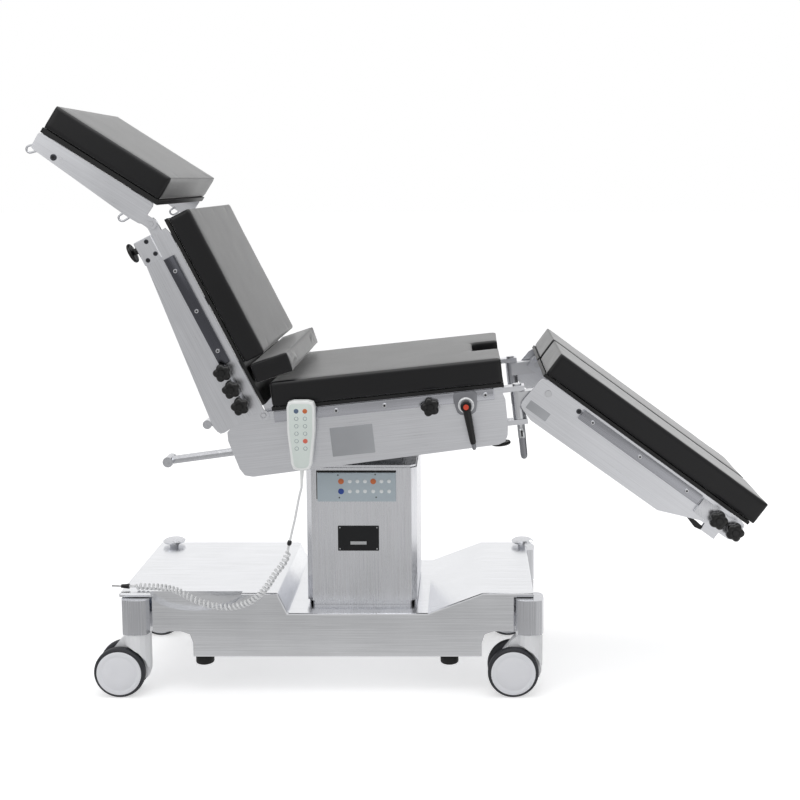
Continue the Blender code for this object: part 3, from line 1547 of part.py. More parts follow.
def build_head():
    """Frame, board and cushion of the head section."""
    inner = OUTER_SHEET_Y - SHEET
    outline = back_outline(HEAD_OUTLINE)
    side = plate(rounded(outline, HEAD_LUG_RADIUS / 2), inner, OUTER_SHEET_Y)
    frame = solid("head_frame", side, STEEL, HEAD)
    lug = rod((0, inner - GAP, 0), (0, OUTER_SHEET_Y + GAP, 0), HEAD_LUG_RADIUS)
    neck = box(
        (-HEAD_MEMBER_PLACES[0], inner + GAP, -HEAD_LUG_RADIUS * 0.9),
        (0, OUTER_SHEET_Y - GAP, HEAD_LUG_RADIUS * 0.9),
    )
    shapes = [mirrored(side), *both(lug), *both(neck)]
    for place in HEAD_MEMBER_PLACES:
        shapes.append(
            box(
                (-place - HEAD_MEMBER_LENGTH, -inner - SINK, HEAD_MEMBER_BOTTOM),
                (-place, inner + SINK, HEAD_TOP - GAP / 3),
            )
        )
    join(frame, *shapes)
    cut(
        frame,
        rod(
            (0, -OUTER_SHEET_Y - OVERRUN, 0),
            (0, OUTER_SHEET_Y + OVERRUN, 0),
            PIN_RADIUS + RUN_CLEARANCE,
            sides=SMALL_SIDES,
        ),
    )
    board_low = HEAD_TOP + GAP
    board_high = board_low + HEAD_BOARD_THICKNESS
    solid(
        "head_board",
        box((-HEAD_END, -BOARD_WIDTH / 2, board_low), (-HEAD_START, BOARD_WIDTH / 2, board_high)),
        BLACK_PLASTIC,
        HEAD,
    )
    cushion_low = board_high + GAP
    cushion(
        "head_cushion",
        rectangle(-HEAD_END, -HEAD_START, cushion_low, cushion_low + HEAD_CUSHION_THICKNESS),
        -SECTION_WIDTH / 2,
        SECTION_WIDTH / 2,
        HEAD,
    )


def place_on(side, mesh):
    """A mesh modelled for the left leg, moved to the side that is asked for."""
    return mesh if side == LEFT else moved(mesh, Matrix.Scale(-1, 4, (0, 1, 0)))


def build_leg(hand, side):
    """Swing hinge, frame, board, cushion, knobs and levers of one leg section."""
    swing = axes(f"swing_{hand}", SEAT, (SWING_X, 0, 0))
    pitch = axes(f"pitch_{hand}", swing, (PITCH_X - SWING_X, 0, PITCH_Z), LEGS_LOWERED)
    barrel_low = SWING_LUG_BOTTOM + SWING_LUG_THICKNESS + GAP
    barrel_high = SWING_LUG_TOP - SWING_LUG_THICKNESS - GAP
    hinge = solid(
        f"leg_hinge_{hand}",
        place_on(side, rod((0, SWING_Y, barrel_low), (0, SWING_Y, barrel_high), SWING_BARREL_RADIUS)),
        ALUMINIUM,
        swing,
    )
    pitch_reach = PITCH_X - SWING_X
    pieces = [
        rod(
            (0, SWING_Y, SWING_LUG_BOTTOM - SINK),
            (0, SWING_Y, SWING_LUG_TOP + 2 * SINK),
            SWING_PIN_RADIUS,
            sides=SMALL_SIDES,
        ),
        rod((0, SWING_Y, SWING_LUG_TOP + GAP), (0, SWING_Y, SWING_LUG_TOP + SHEET), SWING_PIN_RADIUS * 1.5),
        box(
            (0, SWING_ARM_INNER_Y, SWING_ARM_BOTTOM),
            (pitch_reach, SWING_ARM_OUTER_Y, SWING_ARM_TOP),
        ),
        rod(
            (pitch_reach, SWING_ARM_INNER_Y + GAP, PITCH_Z),
            (pitch_reach, SWING_ARM_OUTER_Y - GAP, PITCH_Z),
            LEG_LUG_HALF_LENGTH,
        ),
        rod(
            (pitch_reach, LEG_LUG_Y - SHEET - SINK, PITCH_Z),
            (pitch_reach, OUTER_SHEET_Y + SINK, PITCH_Z),
            LEG_PIN_RADIUS,
        ),
        box(
            (-LOCK_EAR_WIDTH / 2, SWING_Y - LOCK_EAR_WIDTH * 0.8, LOCK_LEVER_Z - LOCK_EAR_WIDTH),
            (LOCK_EAR_WIDTH / 2, SWING_Y + LOCK_EAR_WIDTH * 0.8, SWING_LUG_BOTTOM - SINK / 2),
        ),
    ]
    join(hinge, *[place_on(side, mesh) for mesh in pieces])
    ear_hole = rod(
        (-LOCK_EAR_WIDTH, SWING_Y, LOCK_LEVER_Z),
        (LOCK_EAR_WIDTH, SWING_Y, LOCK_LEVER_Z),
        LOCK_PIN_RADIUS + RUN_CLEARANCE,
        sides=SMALL_SIDES,
    )
    cut(hinge, place_on(side, ear_hole))

    lock = axes(f"axis_lock_lever_{hand}", swing, (0, side * SWING_Y, LOCK_LEVER_Z))
    lever = solid(
        f"swing_lock_lever_{hand}",
        rod((0, 0, -LOCK_HEAD_LENGTH + SINK), (0, 0, -LOCK_LEVER_LENGTH), LOCK_LEVER_RADIUS),
        ALUMINIUM,
        lock,
    )
    cheek_low = LOCK_EAR_WIDTH / 2 + GAP
    cheek_high = LOCK_HEAD_RADIUS
    half_width = LOCK_HEAD_RADIUS * 0.8
    cheeks = [
        box(
            (min(sign * cheek_low, sign * cheek_high), -half_width, -LOCK_HEAD_LENGTH),
            (max(sign * cheek_low, sign * cheek_high), half_width, LOCK_EAR_WIDTH),
        )
        for sign in (-1, 1)
    ]
    bridge = box(
        (-cheek_high + GAP, -half_width + GAP, -LOCK_HEAD_LENGTH - SINK),
        (cheek_high - GAP, half_width - GAP, -LOCK_HEAD_LENGTH * 0.6),
    )
    pin = rod((-cheek_low - SINK, 0, 0), (cheek_low + SINK, 0, 0), LOCK_PIN_RADIUS, sides=SMALL_SIDES)
    join(lever, *cheeks, bridge, pin)

    inner = OUTER_SHEET_Y - SHEET
    outer_side = plate(rounded(LEG_OUTLINE, CORNER_RADIUS / 2), inner, OUTER_SHEET_Y)
    frame = solid(f"leg_frame_{hand}", place_on(side, outer_side), STEEL, pitch)
    inside_points = [(max(x, LEG_MEMBER_PLACES[0] - CORNER_RADIUS), z) for x, z in LEG_OUTLINE[2:-1]]
    inside_points += [(LEG_OUTLINE[-1][0], LEG_TOP), (LEG_MEMBER_PLACES[0] - CORNER_RADIUS, LEG_TOP)]
    pieces = [plate(rounded(inside_points, CORNER_RADIUS / 2), LEG_INNER_Y, LEG_INNER_Y + SHEET)]
    for place in LEG_MEMBER_PLACES:
        pieces.append(
            box(
                (place, LEG_INNER_Y + SINK, LEG_MEMBER_BOTTOM),
                (place + LEG_MEMBER_LENGTH, inner + SINK, LEG_MEMBER_TOP),
            )
        )
    pieces.append(
        box(
            (LEG_RAIL_START, OUTER_SHEET_Y - SINK, LEG_RAIL_TOP - RAIL_HEIGHT),
            (LEG_RAIL_END, OUTER_SHEET_Y + RAIL_DEPTH, LEG_RAIL_TOP),
        )
    )
    pieces.append(
        box(
            (LEG_KNOB_PLACES[0] - CORNER_RADIUS, OUTER_SHEET_Y - SINK, LEG_KNOB_HEIGHT - KNOB_BAR_MARGIN),
            (LEG_OUTLINE[-1][0] - SHEET, OUTER_SHEET_Y + RAIL_DEPTH, LEG_KNOB_HEIGHT + KNOB_BAR_MARGIN),
        )
    )
    lug_low, lug_high = LEG_LUG_Y - SHEET, LEG_LUG_Y
    pieces.append(
        box(
            (-LEG_LUG_HALF_LENGTH, lug_low, -LEG_LUG_HALF_LENGTH),
            (LEG_MEMBER_PLACES[0] + SINK, lug_high, LEG_MEMBER_TOP - SINK),
        )
    )
    ear_x = LEG_LEVER_PIVOT - SHEET
    ear_end = LEG_MEMBER_PLACES[2] + LEG_MEMBER_LENGTH - SINK
    pieces.append(
        box(
            (ear_x, LEG_LEVER_Y + SHEET + GAP, LEG_LEVER_HEIGHT - SHEET),
            (ear_end, LEG_LEVER_Y + 2 * SHEET, LEG_MEMBER_BOTTOM + SINK),
        )
    )
    pieces.append(
        box(
            (ear_x, LEG_LEVER_Y - 2 * SHEET, LEG_LEVER_HEIGHT - SHEET),
            (ear_end, LEG_LEVER_Y - SHEET - GAP, LEG_MEMBER_BOTTOM + SINK),
        )
    )
    pieces.append(
        rod(
            (LEG_LEVER_PIVOT, LEG_LEVER_Y - SHEET - SINK, LEG_LEVER_HEIGHT),
            (LEG_LEVER_PIVOT, LEG_LEVER_Y + SHEET + SINK, LEG_LEVER_HEIGHT),
            LEVER_PIN_RADIUS,
            sides=SMALL_SIDES,
        )
    )
    join(frame, *[place_on(side, mesh) for mesh in pieces])
    pin_hole = rod(
        (0, lug_low - OVERRUN, 0), (0, OUTER_SHEET_Y + OVERRUN, 0), LEG_PIN_RADIUS + RUN_CLEARANCE
    )
    cut(frame, place_on(side, pin_hole))

    board_low = LEG_TOP + GAP
    board_high = board_low + BOARD_THICKNESS
    board = box((LEG_START, LEG_INNER_Y + SHEET / 2, board_low), (LEG_BOARD_END, BOARD_WIDTH / 2, board_high))
    solid(f"leg_board_{hand}", place_on(side, board), BLACK_PLASTIC, pitch)
    cushion_low = board_high + GAP
    y_low, y_high = sorted((side * LEG_INNER_Y, side * SECTION_WIDTH / 2))
    cushion(
        f"leg_cushion_{hand}",
        rectangle(LEG_START, LEG_END, cushion_low, cushion_low + CUSHION_THICKNESS),
        y_low,
        y_high,
        pitch,
    )
    face = side * (OUTER_SHEET_Y + RAIL_DEPTH + GAP)
    for number, place in enumerate(LEG_KNOB_PLACES, 1):
        star_knob(f"leg_star_knob_{hand}_{number}", (place, face, LEG_KNOB_HEIGHT), pitch, side)
    build_leg_lever(hand, side, pitch)


def build_leg_lever(hand, side, pitch):
    """Tapered release lever under the foot end of a leg section."""
    pivot = axes(f"axis_leg_release_{hand}", pitch, (LEG_LEVER_PIVOT, side * LEG_LEVER_Y, LEG_LEVER_HEIGHT))
    shape = [
        (SHEET, SHEET * 0.6),
        (0, SHEET),
        (-LEG_LEVER_LENGTH * 0.35, SHEET * 1.6),
        (-LEG_LEVER_LENGTH, SHEET * 1.2),
        (-LEG_LEVER_LENGTH * 0.3, -SHEET * 2),
        (0, -SHEET),
        (SHEET, -SHEET * 0.6),
    ]
    lever = solid(f"leg_release_lever_{hand}", plate(shape, -SHEET, SHEET), BLACK_PLASTIC, pivot)
    cut(
        lever,
        rod((0, -2 * SHEET, 0), (0, 2 * SHEET, 0), LEVER_PIN_RADIUS + RUN_CLEARANCE, sides=SMALL_SIDES),
    )


def build_handset():
    """Hand control with its hook, hanging upright on the seat rail."""
    half_top, half_bottom = HANDSET_TOP_WIDTH / 2, HANDSET_BOTTOM_WIDTH / 2
    outline = rounded(
        [
            (HANDSET_X - half_top, HANDSET_TOP_Z),
            (HANDSET_X - half_top * 0.97, HANDSET_TOP_Z - HANDSET_LENGTH * 0.45),
            (HANDSET_X - half_bottom, HANDSET_TOP_Z - HANDSET_LENGTH),
            (HANDSET_X + half_bottom, HANDSET_TOP_Z - HANDSET_LENGTH),
            (HANDSET_X + half_top * 0.97, HANDSET_TOP_Z - HANDSET_LENGTH * 0.45),
            (HANDSET_X + half_top, HANDSET_TOP_Z),
        ],
        HANDSET_EDGE * 2,
    )
    front = HANDSET_BACK_Y - HANDSET_THICKNESS
    handset = solid("handset", plate(outline, front, HANDSET_BACK_Y, HANDSET_EDGE / 2), PALE_PLASTIC)
    hook_y = -SEAT_SHEET_Y - RAIL_DEPTH - GAP
    hook_z = HANDSET_TOP_Z - HANDSET_LENGTH / 4
    middle_y = HANDSET_BACK_Y - HANDSET_THICKNESS / 2
    bottom = HANDSET_TOP_Z - HANDSET_LENGTH
    relief_end = Vector(LEAD_ROUTE[0])
    relief_way = (Vector(LEAD_ROUTE[1]) - relief_end).normalized()
    relief = rod(
        Vector((HANDSET_X, middle_y, bottom + HANDSET_EDGE)),
        relief_end - relief_way * GAP,
        RELIEF_RADIUS,
        CORD_RADIUS * 1.4,
        sides=SMALL_SIDES,
    )
    hook = box(
        (HANDSET_X - half_bottom / 2, HANDSET_BACK_Y - SINK, hook_z - HANDSET_EDGE),
        (HANDSET_X + half_bottom / 2, hook_y, hook_z + HANDSET_EDGE),
    )
    join(handset, relief, hook)


def smooth_route(points, spacing):
    """Evenly spaced points on one smooth curve through a cord's own points."""
    places = np.array(points)
    ends = np.vstack([2 * places[0] - places[1], places, 2 * places[-1] - places[-2]])
    fine = []
    steps = 24
    for i in range(1, len(ends) - 2):
        a, b, c, d = ends[i - 1 : i + 3]
        for t in np.arange(steps) / steps:
            fine.append(
                (2 * b + (c - a) * t + (2 * a - 5 * b + 4 * c - d) * t**2 + (3 * b - a - 3 * c + d) * t**3) / 2
            )
    fine.append(places[-1])
    fine = np.array(fine)
    run = np.concatenate([[0], np.cumsum(np.linalg.norm(np.diff(fine, axis=0), axis=1))])
    count = max(2, round(run[-1] / spacing)) + 1
    wanted = np.linspace(0, run[-1], count)
    return np.column_stack([np.interp(wanted, run, fine[:, k]) for k in range(3)]), run[-1]


def wire(name, points, radius, resolution, finish):
    """A round wire through points, as one closed tube."""
    curve = bpy.data.curves.new(name, "CURVE")
    curve.dimensions = "3D"
    curve.bevel_depth = radius
    curve.bevel_resolution = resolution
    curve.use_fill_caps = True
    spline = curve.splines.new("POLY")
    spline.points.add(len(points) - 1)
    for point, place in zip(spline.points, points):
        point.co = (*place, 1.0)
    curve.materials.append(make_material(name, finish))
    made = bpy.data.objects.new(name, curve)
    made.parent = ROOT
    weld = made.modifiers.new("weld", "WELD")
    weld.merge_threshold = RUN_CLEARANCE / 10
    PARTS.objects.link(made)
    return made


def curly_points():
    """The helix of the curly stretch, with one straight diameter at either end."""
    fine, length = smooth_route(CURLY_ROUTE, CURL_RADIUS / 4)
    run = np.linspace(0, length, len(fine))
    tangents = np.gradient(fine, axis=0)
    tangents /= np.linalg.norm(tangents, axis=1)[:, None]
    side = np.cross(tangents[0], [0, 1, 0])
    side /= np.linalg.norm(side)
    sides = []
    for tangent in tangents:
        side = side - tangent * np.dot(side, tangent)
        side /= np.linalg.norm(side)
        sides.append(side.copy())
    sides = np.array(sides)
    ups = np.cross(tangents, sides)
    straight = 2 * CORD_RADIUS
    lead_in = straight + CURL_RADIUS
    count = CURLS * CURL_POINTS
    wound = np.linspace(lead_in, length - lead_in, count + 1)
    out = [fine[0], fine[0] + tangents[0] * straight]
    for i, place in enumerate(wound):
        centre, way, up = (
            np.array([np.interp(place, run, table[:, k]) for k in range(3)]) for table in (fine, sides, ups)
        )
        angle = 2 * math.pi * i / CURL_POINTS
        grow = min(1.0, i / CURL_POINTS, (count - i) / CURL_POINTS)
        out.append(centre + grow * CURL_RADIUS * (way * math.cos(angle) + up * math.sin(angle)))
    out += [fine[-1] - tangents[-1] * straight, fine[-1]]
    return np.array(out)


def least_self_gap(points, radius):
    """The least gap between turns of a wire, measured on points along it."""
    steps = np.linalg.norm(np.diff(points, axis=0), axis=1)
    run = np.concatenate([[0], np.cumsum(steps)])
    count = int(run[-1] / (radius / 2))
    wanted = np.linspace(0, run[-1], count)
    fine = np.column_stack([np.interp(wanted, run, points[:, k]) for k in range(3)])
    least = math.inf
    skip = int(CURL_RADIUS * 3 / (wanted[1] - wanted[0]))
    for i in range(0, count - skip, 2):
        window = fine[i + skip : i + skip * 6]
        if len(window):
            least = min(least, np.linalg.norm(window - fine[i], axis=1).min())
    return least - 2 * radius


def build_cord():
    """Straight lead, collar, curly cord and plug, from the handset to the base's head end."""
    lead, lead_length = smooth_route(LEAD_ROUTE, CORD_RADIUS * 5)
    wire("handset_lead", lead, CORD_RADIUS, 2, PALE_PLASTIC)
    start = Vector(LEAD_ROUTE[-1])
    end = Vector(CURLY_ROUTE[0])
    way = (end - start).normalized()
    solid(
        "cord_collar",
        rod(start + way * GAP, end - way * GAP, COLLAR_RADIUS, sides=SMALL_SIDES),
        BLACK_PLASTIC,
    )
    points = curly_points()
    wire("curly_cord", points, CORD_RADIUS, 1, PALE_PLASTIC)
    tail = Vector(CURLY_ROUTE[-1])
    plug_way = (tail - Vector(CURLY_ROUTE[-2])).normalized()
    plug_end = tail + plug_way * PLUG_LENGTH
    plug = solid(
        "cord_plug",
        rod(tail + plug_way * GAP, plug_end, PLUG_RADIUS, PLUG_RADIUS * 0.7, sides=SMALL_SIDES),
        BLACK_PLASTIC,
    )
    join(
        plug,
        rod(
            plug_end - plug_way * SINK,
            plug_end + plug_way * PLUG_PIN_LENGTH,
            PLUG_PIN_RADIUS,
            sides=SMALL_SIDES,
        ),
    )
    wound = np.linalg.norm(np.diff(points, axis=0), axis=1).sum()
    print(f"lead {lead_length:.3f} m, curly cord {wound:.3f} m of wire in {CURLS} curls")
    print(f"least gap between curls {least_self_gap(points, CORD_RADIUS) * 1000:.2f} mm")


clear_scene()
PARTS = make_collection("operating_table", False)
CUTTERS = make_collection("cutters", True)
ROOT = axes("axes_table", None, (TABLE_SHIFT, 0, 0))
SEAT = axes("axes_seat", ROOT, (COLUMN_X, 0, TILT_AXIS_Z), -TOP_TILT)
BACK = axes("axes_back", SEAT, (BACK_HINGE_X, 0, BACK_HINGE_Z), BACK_RAISED)
KIDNEY = axes("axes_kidney", BACK, (-KIDNEY_HINGE_ALONG, 0, KIDNEY_HINGE_UP), -KIDNEY_TILT)
HEAD = axes("axes_head", BACK, (-HEAD_HINGE_ALONG, 0, HEAD_HINGE_UP), -HEAD_LAID_BACK)
bpy.context.view_layer.update()
build_base()
build_casters()
build_column()
build_seat()
build_back()
build_head()
build_leg("right", RIGHT)
build_leg("left", LEFT)
build_handset()
build_cord()
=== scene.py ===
"""Electro-hydraulic operating table: the looks of its pieces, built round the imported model."""

import logging
import math
from dataclasses import dataclass, field
from enum import Enum

import bmesh
import bpy
import numpy as np
from mathutils import Matrix, Vector


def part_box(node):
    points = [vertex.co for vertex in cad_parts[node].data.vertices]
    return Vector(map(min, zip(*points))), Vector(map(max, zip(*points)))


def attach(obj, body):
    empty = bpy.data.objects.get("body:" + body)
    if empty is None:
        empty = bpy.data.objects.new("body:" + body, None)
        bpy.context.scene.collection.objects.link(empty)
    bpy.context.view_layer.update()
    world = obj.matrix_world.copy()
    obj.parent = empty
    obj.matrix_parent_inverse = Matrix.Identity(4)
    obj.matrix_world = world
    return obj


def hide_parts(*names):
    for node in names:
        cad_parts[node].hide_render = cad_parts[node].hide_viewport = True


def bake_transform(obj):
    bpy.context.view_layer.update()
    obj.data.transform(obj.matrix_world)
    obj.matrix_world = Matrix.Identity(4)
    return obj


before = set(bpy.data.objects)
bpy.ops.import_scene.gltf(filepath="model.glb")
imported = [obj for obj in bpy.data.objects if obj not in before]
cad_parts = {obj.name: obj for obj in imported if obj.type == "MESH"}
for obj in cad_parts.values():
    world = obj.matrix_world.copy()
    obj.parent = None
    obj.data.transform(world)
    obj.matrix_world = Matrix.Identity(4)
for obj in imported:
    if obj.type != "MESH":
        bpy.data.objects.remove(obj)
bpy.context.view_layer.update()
LOG = logging.getLogger("operating_table")

HANDS = {"right": -1, "left": 1}
ENDS = {"head": -0.7091, "foot": 0.2549}

Pair = tuple[float, float]
Triple = tuple[float, float, float]
Quad = tuple[float, float, float, float]
Shape = bmesh.types.BMesh
Piece = bpy.types.Object
Tree = bpy.types.NodeTree
Node = bpy.types.Node
Socket = bpy.types.NodeSocket


# ---------------------------------------------------------------- section frames


def section(parent: Matrix, place: Triple, turn: float) -> Matrix:
    """The frame of one hinged section of the table top.

    Args:
        parent: The frame that carries it.
        place: Where its hinge is in that frame, in metres.
        turn: How far it is turned about the hinge, in degrees.

    Returns:
        The section's frame in the table's own coordinates.
    """
    return parent @ Matrix.Translation(place) @ Matrix.Rotation(math.radians(turn), 4, "Y")


SEAT = section(Matrix.Identity(4), (-0.1201, 0, 0.645), -6.1)
BACK = section(SEAT, (-0.213, 0, 0.084), 69.5)
KIDNEY = section(BACK, (-0.098, 0, 0.042), -82.0)
HEAD = section(BACK, (-0.518, 0, -0.023), -30.8)
LEG = section(SEAT, (0.463, 0, 0.064), 42.3)
UPRIGHT = Matrix.Identity(4)
FACING = Matrix.Rotation(math.radians(90), 4, "X")
SEAT_TURN, BACK_TURN, HEAD_TURN, LEG_TURN = -6.1, 63.4, 32.6, 36.2


# ---------------------------------------------------------------- shared tools


def linear_colour(colour: str) -> Quad:
    """Turn an sRGB hex value into linear light.

    Args:
        colour: Six hex digits.

    Returns:
        Red, green, blue and an alpha of one.
    """
    parts = [int(colour[i : i + 2], 16) / 255 for i in (0, 2, 4)]
    light = [c / 12.92 if c <= 0.04045 else ((c + 0.055) / 1.055) ** 2.4 for c in parts]
    return (*light, 1.0)


def add_node(tree: Tree, kind: str, settings: dict | None = None, sockets: dict | None = None) -> Node:
    """Add one node with its settings, values and links.

    Args:
        tree: The tree that the node goes into.
        kind: The node's type name.
        settings: Properties of the node by name.
        sockets: A value or another node's output for each input, by name or number.

    Returns:
        The new node.
    """
    made = tree.nodes.new(kind)
    for name, value in (settings or {}).items():
        setattr(made, name, value)
    for name, value in (sockets or {}).items():
        if isinstance(value, Socket):
            tree.links.new(value, made.inputs[name])
        else:
            made.inputs[name].default_value = value
    return made


def mapped(tree: Tree, value: Socket, span: Pair, result: Pair = (0.0, 1.0)) -> Socket:
    """Stretch a value from one span to another and hold it there.

    Args:
        tree: The tree that the node goes into.
        value: The value.
        span: What it goes from.
        result: What that becomes.

    Returns:
        The stretched value.
    """
    ends = {"From Min": span[0], "From Max": span[1], "To Min": result[0], "To Max": result[1]}
    return add_node(tree, "ShaderNodeMapRange", None, {"Value": value, **ends}).outputs["Result"]


def maths(tree: Tree, operation: str, *values: Socket | float) -> Socket:
    """Reckon with values and other nodes' outputs.

    Args:
        tree: The tree that the node goes into.
        operation: What is done with them.
        values: The values.

    Returns:
        The outcome.
    """
    return add_node(tree, "ShaderNodeMath", {"operation": operation}, dict(enumerate(values))).outputs[0]


def noise(tree: Tree, place: Socket, scale: float, detail: float) -> Socket:
    """Cloudy noise through an object.

    Args:
        tree: The tree that the node goes into.
        place: The coordinates.
        scale: How many clouds there are in a metre.
        detail: How much finer structure they have.

    Returns:
        The noise, from 0 to 1.
    """
    given = {"Vector": place, "Scale": scale, "Detail": detail}
    return add_node(tree, "ShaderNodeTexNoise", None, given).outputs["Fac"]


def place_object(name: str, mesh: bpy.types.Mesh, material: bpy.types.Material | None) -> Piece:
    """Put a finished mesh into the scene at the origin.

    Args:
        name: The piece's name.
        mesh: Its mesh, already where it belongs.
        material: Its finish, or None where the mesh has its own.

    Returns:
        The new object.
    """
    if material is not None:
        mesh.materials.clear()
        mesh.materials.append(material)
    made = bpy.data.objects.new(name, mesh)
    bpy.context.scene.collection.objects.link(made)
    return made


def mesh_of(shape: Shape, name: str, place: Matrix, smooth_below: float = 40.0) -> bpy.types.Mesh:
    """Turn a bmesh into a mesh with its place applied and its faces outwards.

    Args:
        shape: The shape, in its own frame. It is freed.
        name: The mesh's name.
        place: The frame that it goes to.
        smooth_below: Faces that meet at less than this many degrees are shaded smooth.

    Returns:
        The mesh.
    """
    bmesh.ops.transform(shape, matrix=place, verts=shape.verts)
    bmesh.ops.recalc_face_normals(shape, faces=shape.faces)
    mesh = bpy.data.meshes.new(name)
    shape.to_mesh(mesh)
    shape.free()
    if smooth_below > 0:
        mesh.shade_smooth()
        mesh.set_sharp_from_angle(angle=math.radians(smooth_below))
    return mesh


def dress(piece: Piece, body: str) -> Piece:
    """Let a piece ride on its body and report it.

    Args:
        piece: The finished piece.
        body: The body that carries it.

    Returns:
        The same piece.
    """
    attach(piece, body)
    LOG.info("%s rides on %s", piece.name, body)
    return piece


def rounded_outline(points: list[Pair], radius: float, steps: int = 5) -> list[Pair]:
    """Round the corners of an outline.

    Args:
        points: Its corners, in order.
        radius: How far each corner is cut back.
        steps: How many points each corner gets.

    Returns:
        The rounded outline.
    """
    out = []
    for i, point in enumerate(points):
        here = Vector(point)
        before, after = Vector(points[i - 1]) - here, Vector(points[(i + 1) % len(points)]) - here
        reach = min(radius, before.length / 2, after.length / 2)
        start, end = here + before.normalized() * reach, here + after.normalized() * reach
        for k in range(steps + 1):
            t = k / steps
            out.append(tuple(start * (1 - t) ** 2 + here * (2 * t * (1 - t)) + end * t**2))
    return out


def join_rings(shape: Shape, rings: list[list[bmesh.types.BMVert]]) -> None:
    """Close a loft of like rings with faces between them and one at either end.

    Args:
        shape: The shape that they are in.
        rings: The rings' corners.
    """
    for low, high in zip(rings, rings[1:]):
        for i in range(len(low)):
            j = (i + 1) % len(low)
            shape.faces.new((low[i], low[j], high[j], high[i]))
    shape.faces.new(rings[0][::-1])
    shape.faces.new(rings[-1])


def slab(outline: list[Pair], y_back: float, y_front: float, edge: float) -> Shape:
    """A flat piece that stands in the XZ plane, with a rounded front edge.

    Args:
        outline: Its outline as x and z.
        y_back: Where its back face is.
        y_front: Where its front face is.
        edge: How much of the front edge is rounded.

    Returns:
        The slab.
    """
    shape = bmesh.new()
    middle = sum((Vector(p) for p in outline), Vector((0, 0))) / len(outline)
    half = Vector([max(abs(p[k] - middle[k]) for p in outline) for k in (0, 1)])
    way = 1 if y_front > y_back else -1
    levels = [(y_back, 0.0), (y_front - way * edge, 0.0)]
    levels += [(y_front - way * edge * 0.3, edge * 0.3), (y_front, edge)]
    rings = []
    for y, inset in levels:
        ring = []
        for p in outline:
            out = Vector(p) - middle
            away = Vector((out.x * (1 - inset / half.x), out.y * (1 - inset / half.y)))
            ring.append(shape.verts.new((middle.x + away.x, y, middle.y + away.y)))
        rings.append(ring)
    join_rings(shape, rings)
    return shape


def lathe(profile: list[Pair], sides: int = 40) -> Shape:
    """A round piece about the Z axis.

    Args:
        profile: Radius and height from the bottom pole to the top pole.
        sides: How many faces go round.

    Returns:
        The closed shape.
    """
    shape = bmesh.new()
    rings = []
    for radius, height in profile:
        if radius < 1e-9:
            rings.append([shape.verts.new((0, 0, height))])
            continue
        turns = [2 * math.pi * i / sides for i in range(sides)]
        rings.append([shape.verts.new((radius * math.cos(a), radius * math.sin(a), height)) for a in turns])
    for low, high in zip(rings, rings[1:]):
        for i in range(sides):
            j = (i + 1) % sides
            corners = [low[i % len(low)], low[j % len(low)], high[j % len(high)], high[i % len(high)]]
            corners = list(dict.fromkeys(corners))
            if len(corners) > 2:
                shape.faces.new(corners)
    return shape


def smooth_route(points: list[Triple], spacing: float) -> np.ndarray:
    """Evenly spaced points on one smooth curve through a route.

    Args:
        points: The route's own points, in metres.
        spacing: How far apart the new points are.

    Returns:
        The points as rows.
    """
    places = np.array(points)
    ends = np.vstack([2 * places[0] - places[1], places, 2 * places[-1] - places[-2]])
    fine = []
    for i in range(1, len(ends) - 2):
        a, b, c, d = ends[i - 1 : i + 3]
        for t in np.arange(24) / 24:
            slope, curve, twist = c - a, 2 * a - 5 * b + 4 * c - d, 3 * b - a - 3 * c + d
            fine.append((2 * b + slope * t + curve * t**2 + twist * t**3) / 2)
    fine = np.array([*fine, places[-1]])
    run = np.concatenate([[0], np.cumsum(np.linalg.norm(np.diff(fine, axis=0), axis=1))])
    wanted = np.linspace(0, run[-1], max(2, round(run[-1] / spacing)) + 1)
    return np.column_stack([np.interp(wanted, run, fine[:, k]) for k in range(3)])


def travelling_sides(points: np.ndarray) -> tuple[np.ndarray, np.ndarray, np.ndarray]:
    """Frames that travel along a line of points without twisting.

    Args:
        points: The line's points as rows.

    Returns:
        Its tangents and two cross directions, as rows.
    """
    tangents = np.gradient(points, axis=0)
    tangents /= np.linalg.norm(tangents, axis=1)[:, None]
    side = np.cross(tangents[0], [0, 1, 0])
    if np.linalg.norm(side) < 1e-6:
        side = np.cross(tangents[0], [1, 0, 0])
    side /= np.linalg.norm(side)
    sides = []
    for tangent in tangents:
        side = side - tangent * np.dot(side, tangent)
        side /= np.linalg.norm(side)
        sides.append(side.copy())
    sides = np.array(sides)
    return tangents, sides, np.cross(tangents, sides)


def tube(points: np.ndarray, radii: list[float], sides: int) -> Shape:
    """A closed round tube along a line of points.

    Args:
        points: The line's points as rows.
        radii: Its radius at each point.
        sides: How many faces go round.

    Returns:
        The tube.
    """
    shape = bmesh.new()
    _, across, up = travelling_sides(points)
    turns = 2 * np.pi * np.arange(sides) / sides
    rings = []
    for place, side, rise, radius in zip(points, across, up, radii):
        ring = place + radius * (np.outer(np.cos(turns), side) + np.outer(np.sin(turns), rise))
        rings.append([shape.verts.new(p) for p in ring])
    join_rings(shape, rings)
    return shape


def gathered(shapes: list[Shape]) -> Shape:
    """Put several shapes into one.

    Args:
        shapes: The shapes. They are freed.

    Returns:
        One shape with all their faces.
    """
    whole = bmesh.new()
    for shape in shapes:
        part = bpy.data.meshes.new("part")
        shape.to_mesh(part)
        shape.free()
        whole.from_mesh(part)
        bpy.data.meshes.remove(part)
    return whole


def local_box(node: str, place: Matrix) -> tuple[Vector, Vector]:
    """The box of a CAD node in a section's own frame.

    Args:
        node: The CAD node.
        place: The section's frame.

    Returns:
        Its lowest and highest corners there.
    """
    back = place.inverted()
    points = np.array([back @ v.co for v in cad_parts[node].data.vertices])
    return Vector(points.min(0)), Vector(points.max(0))


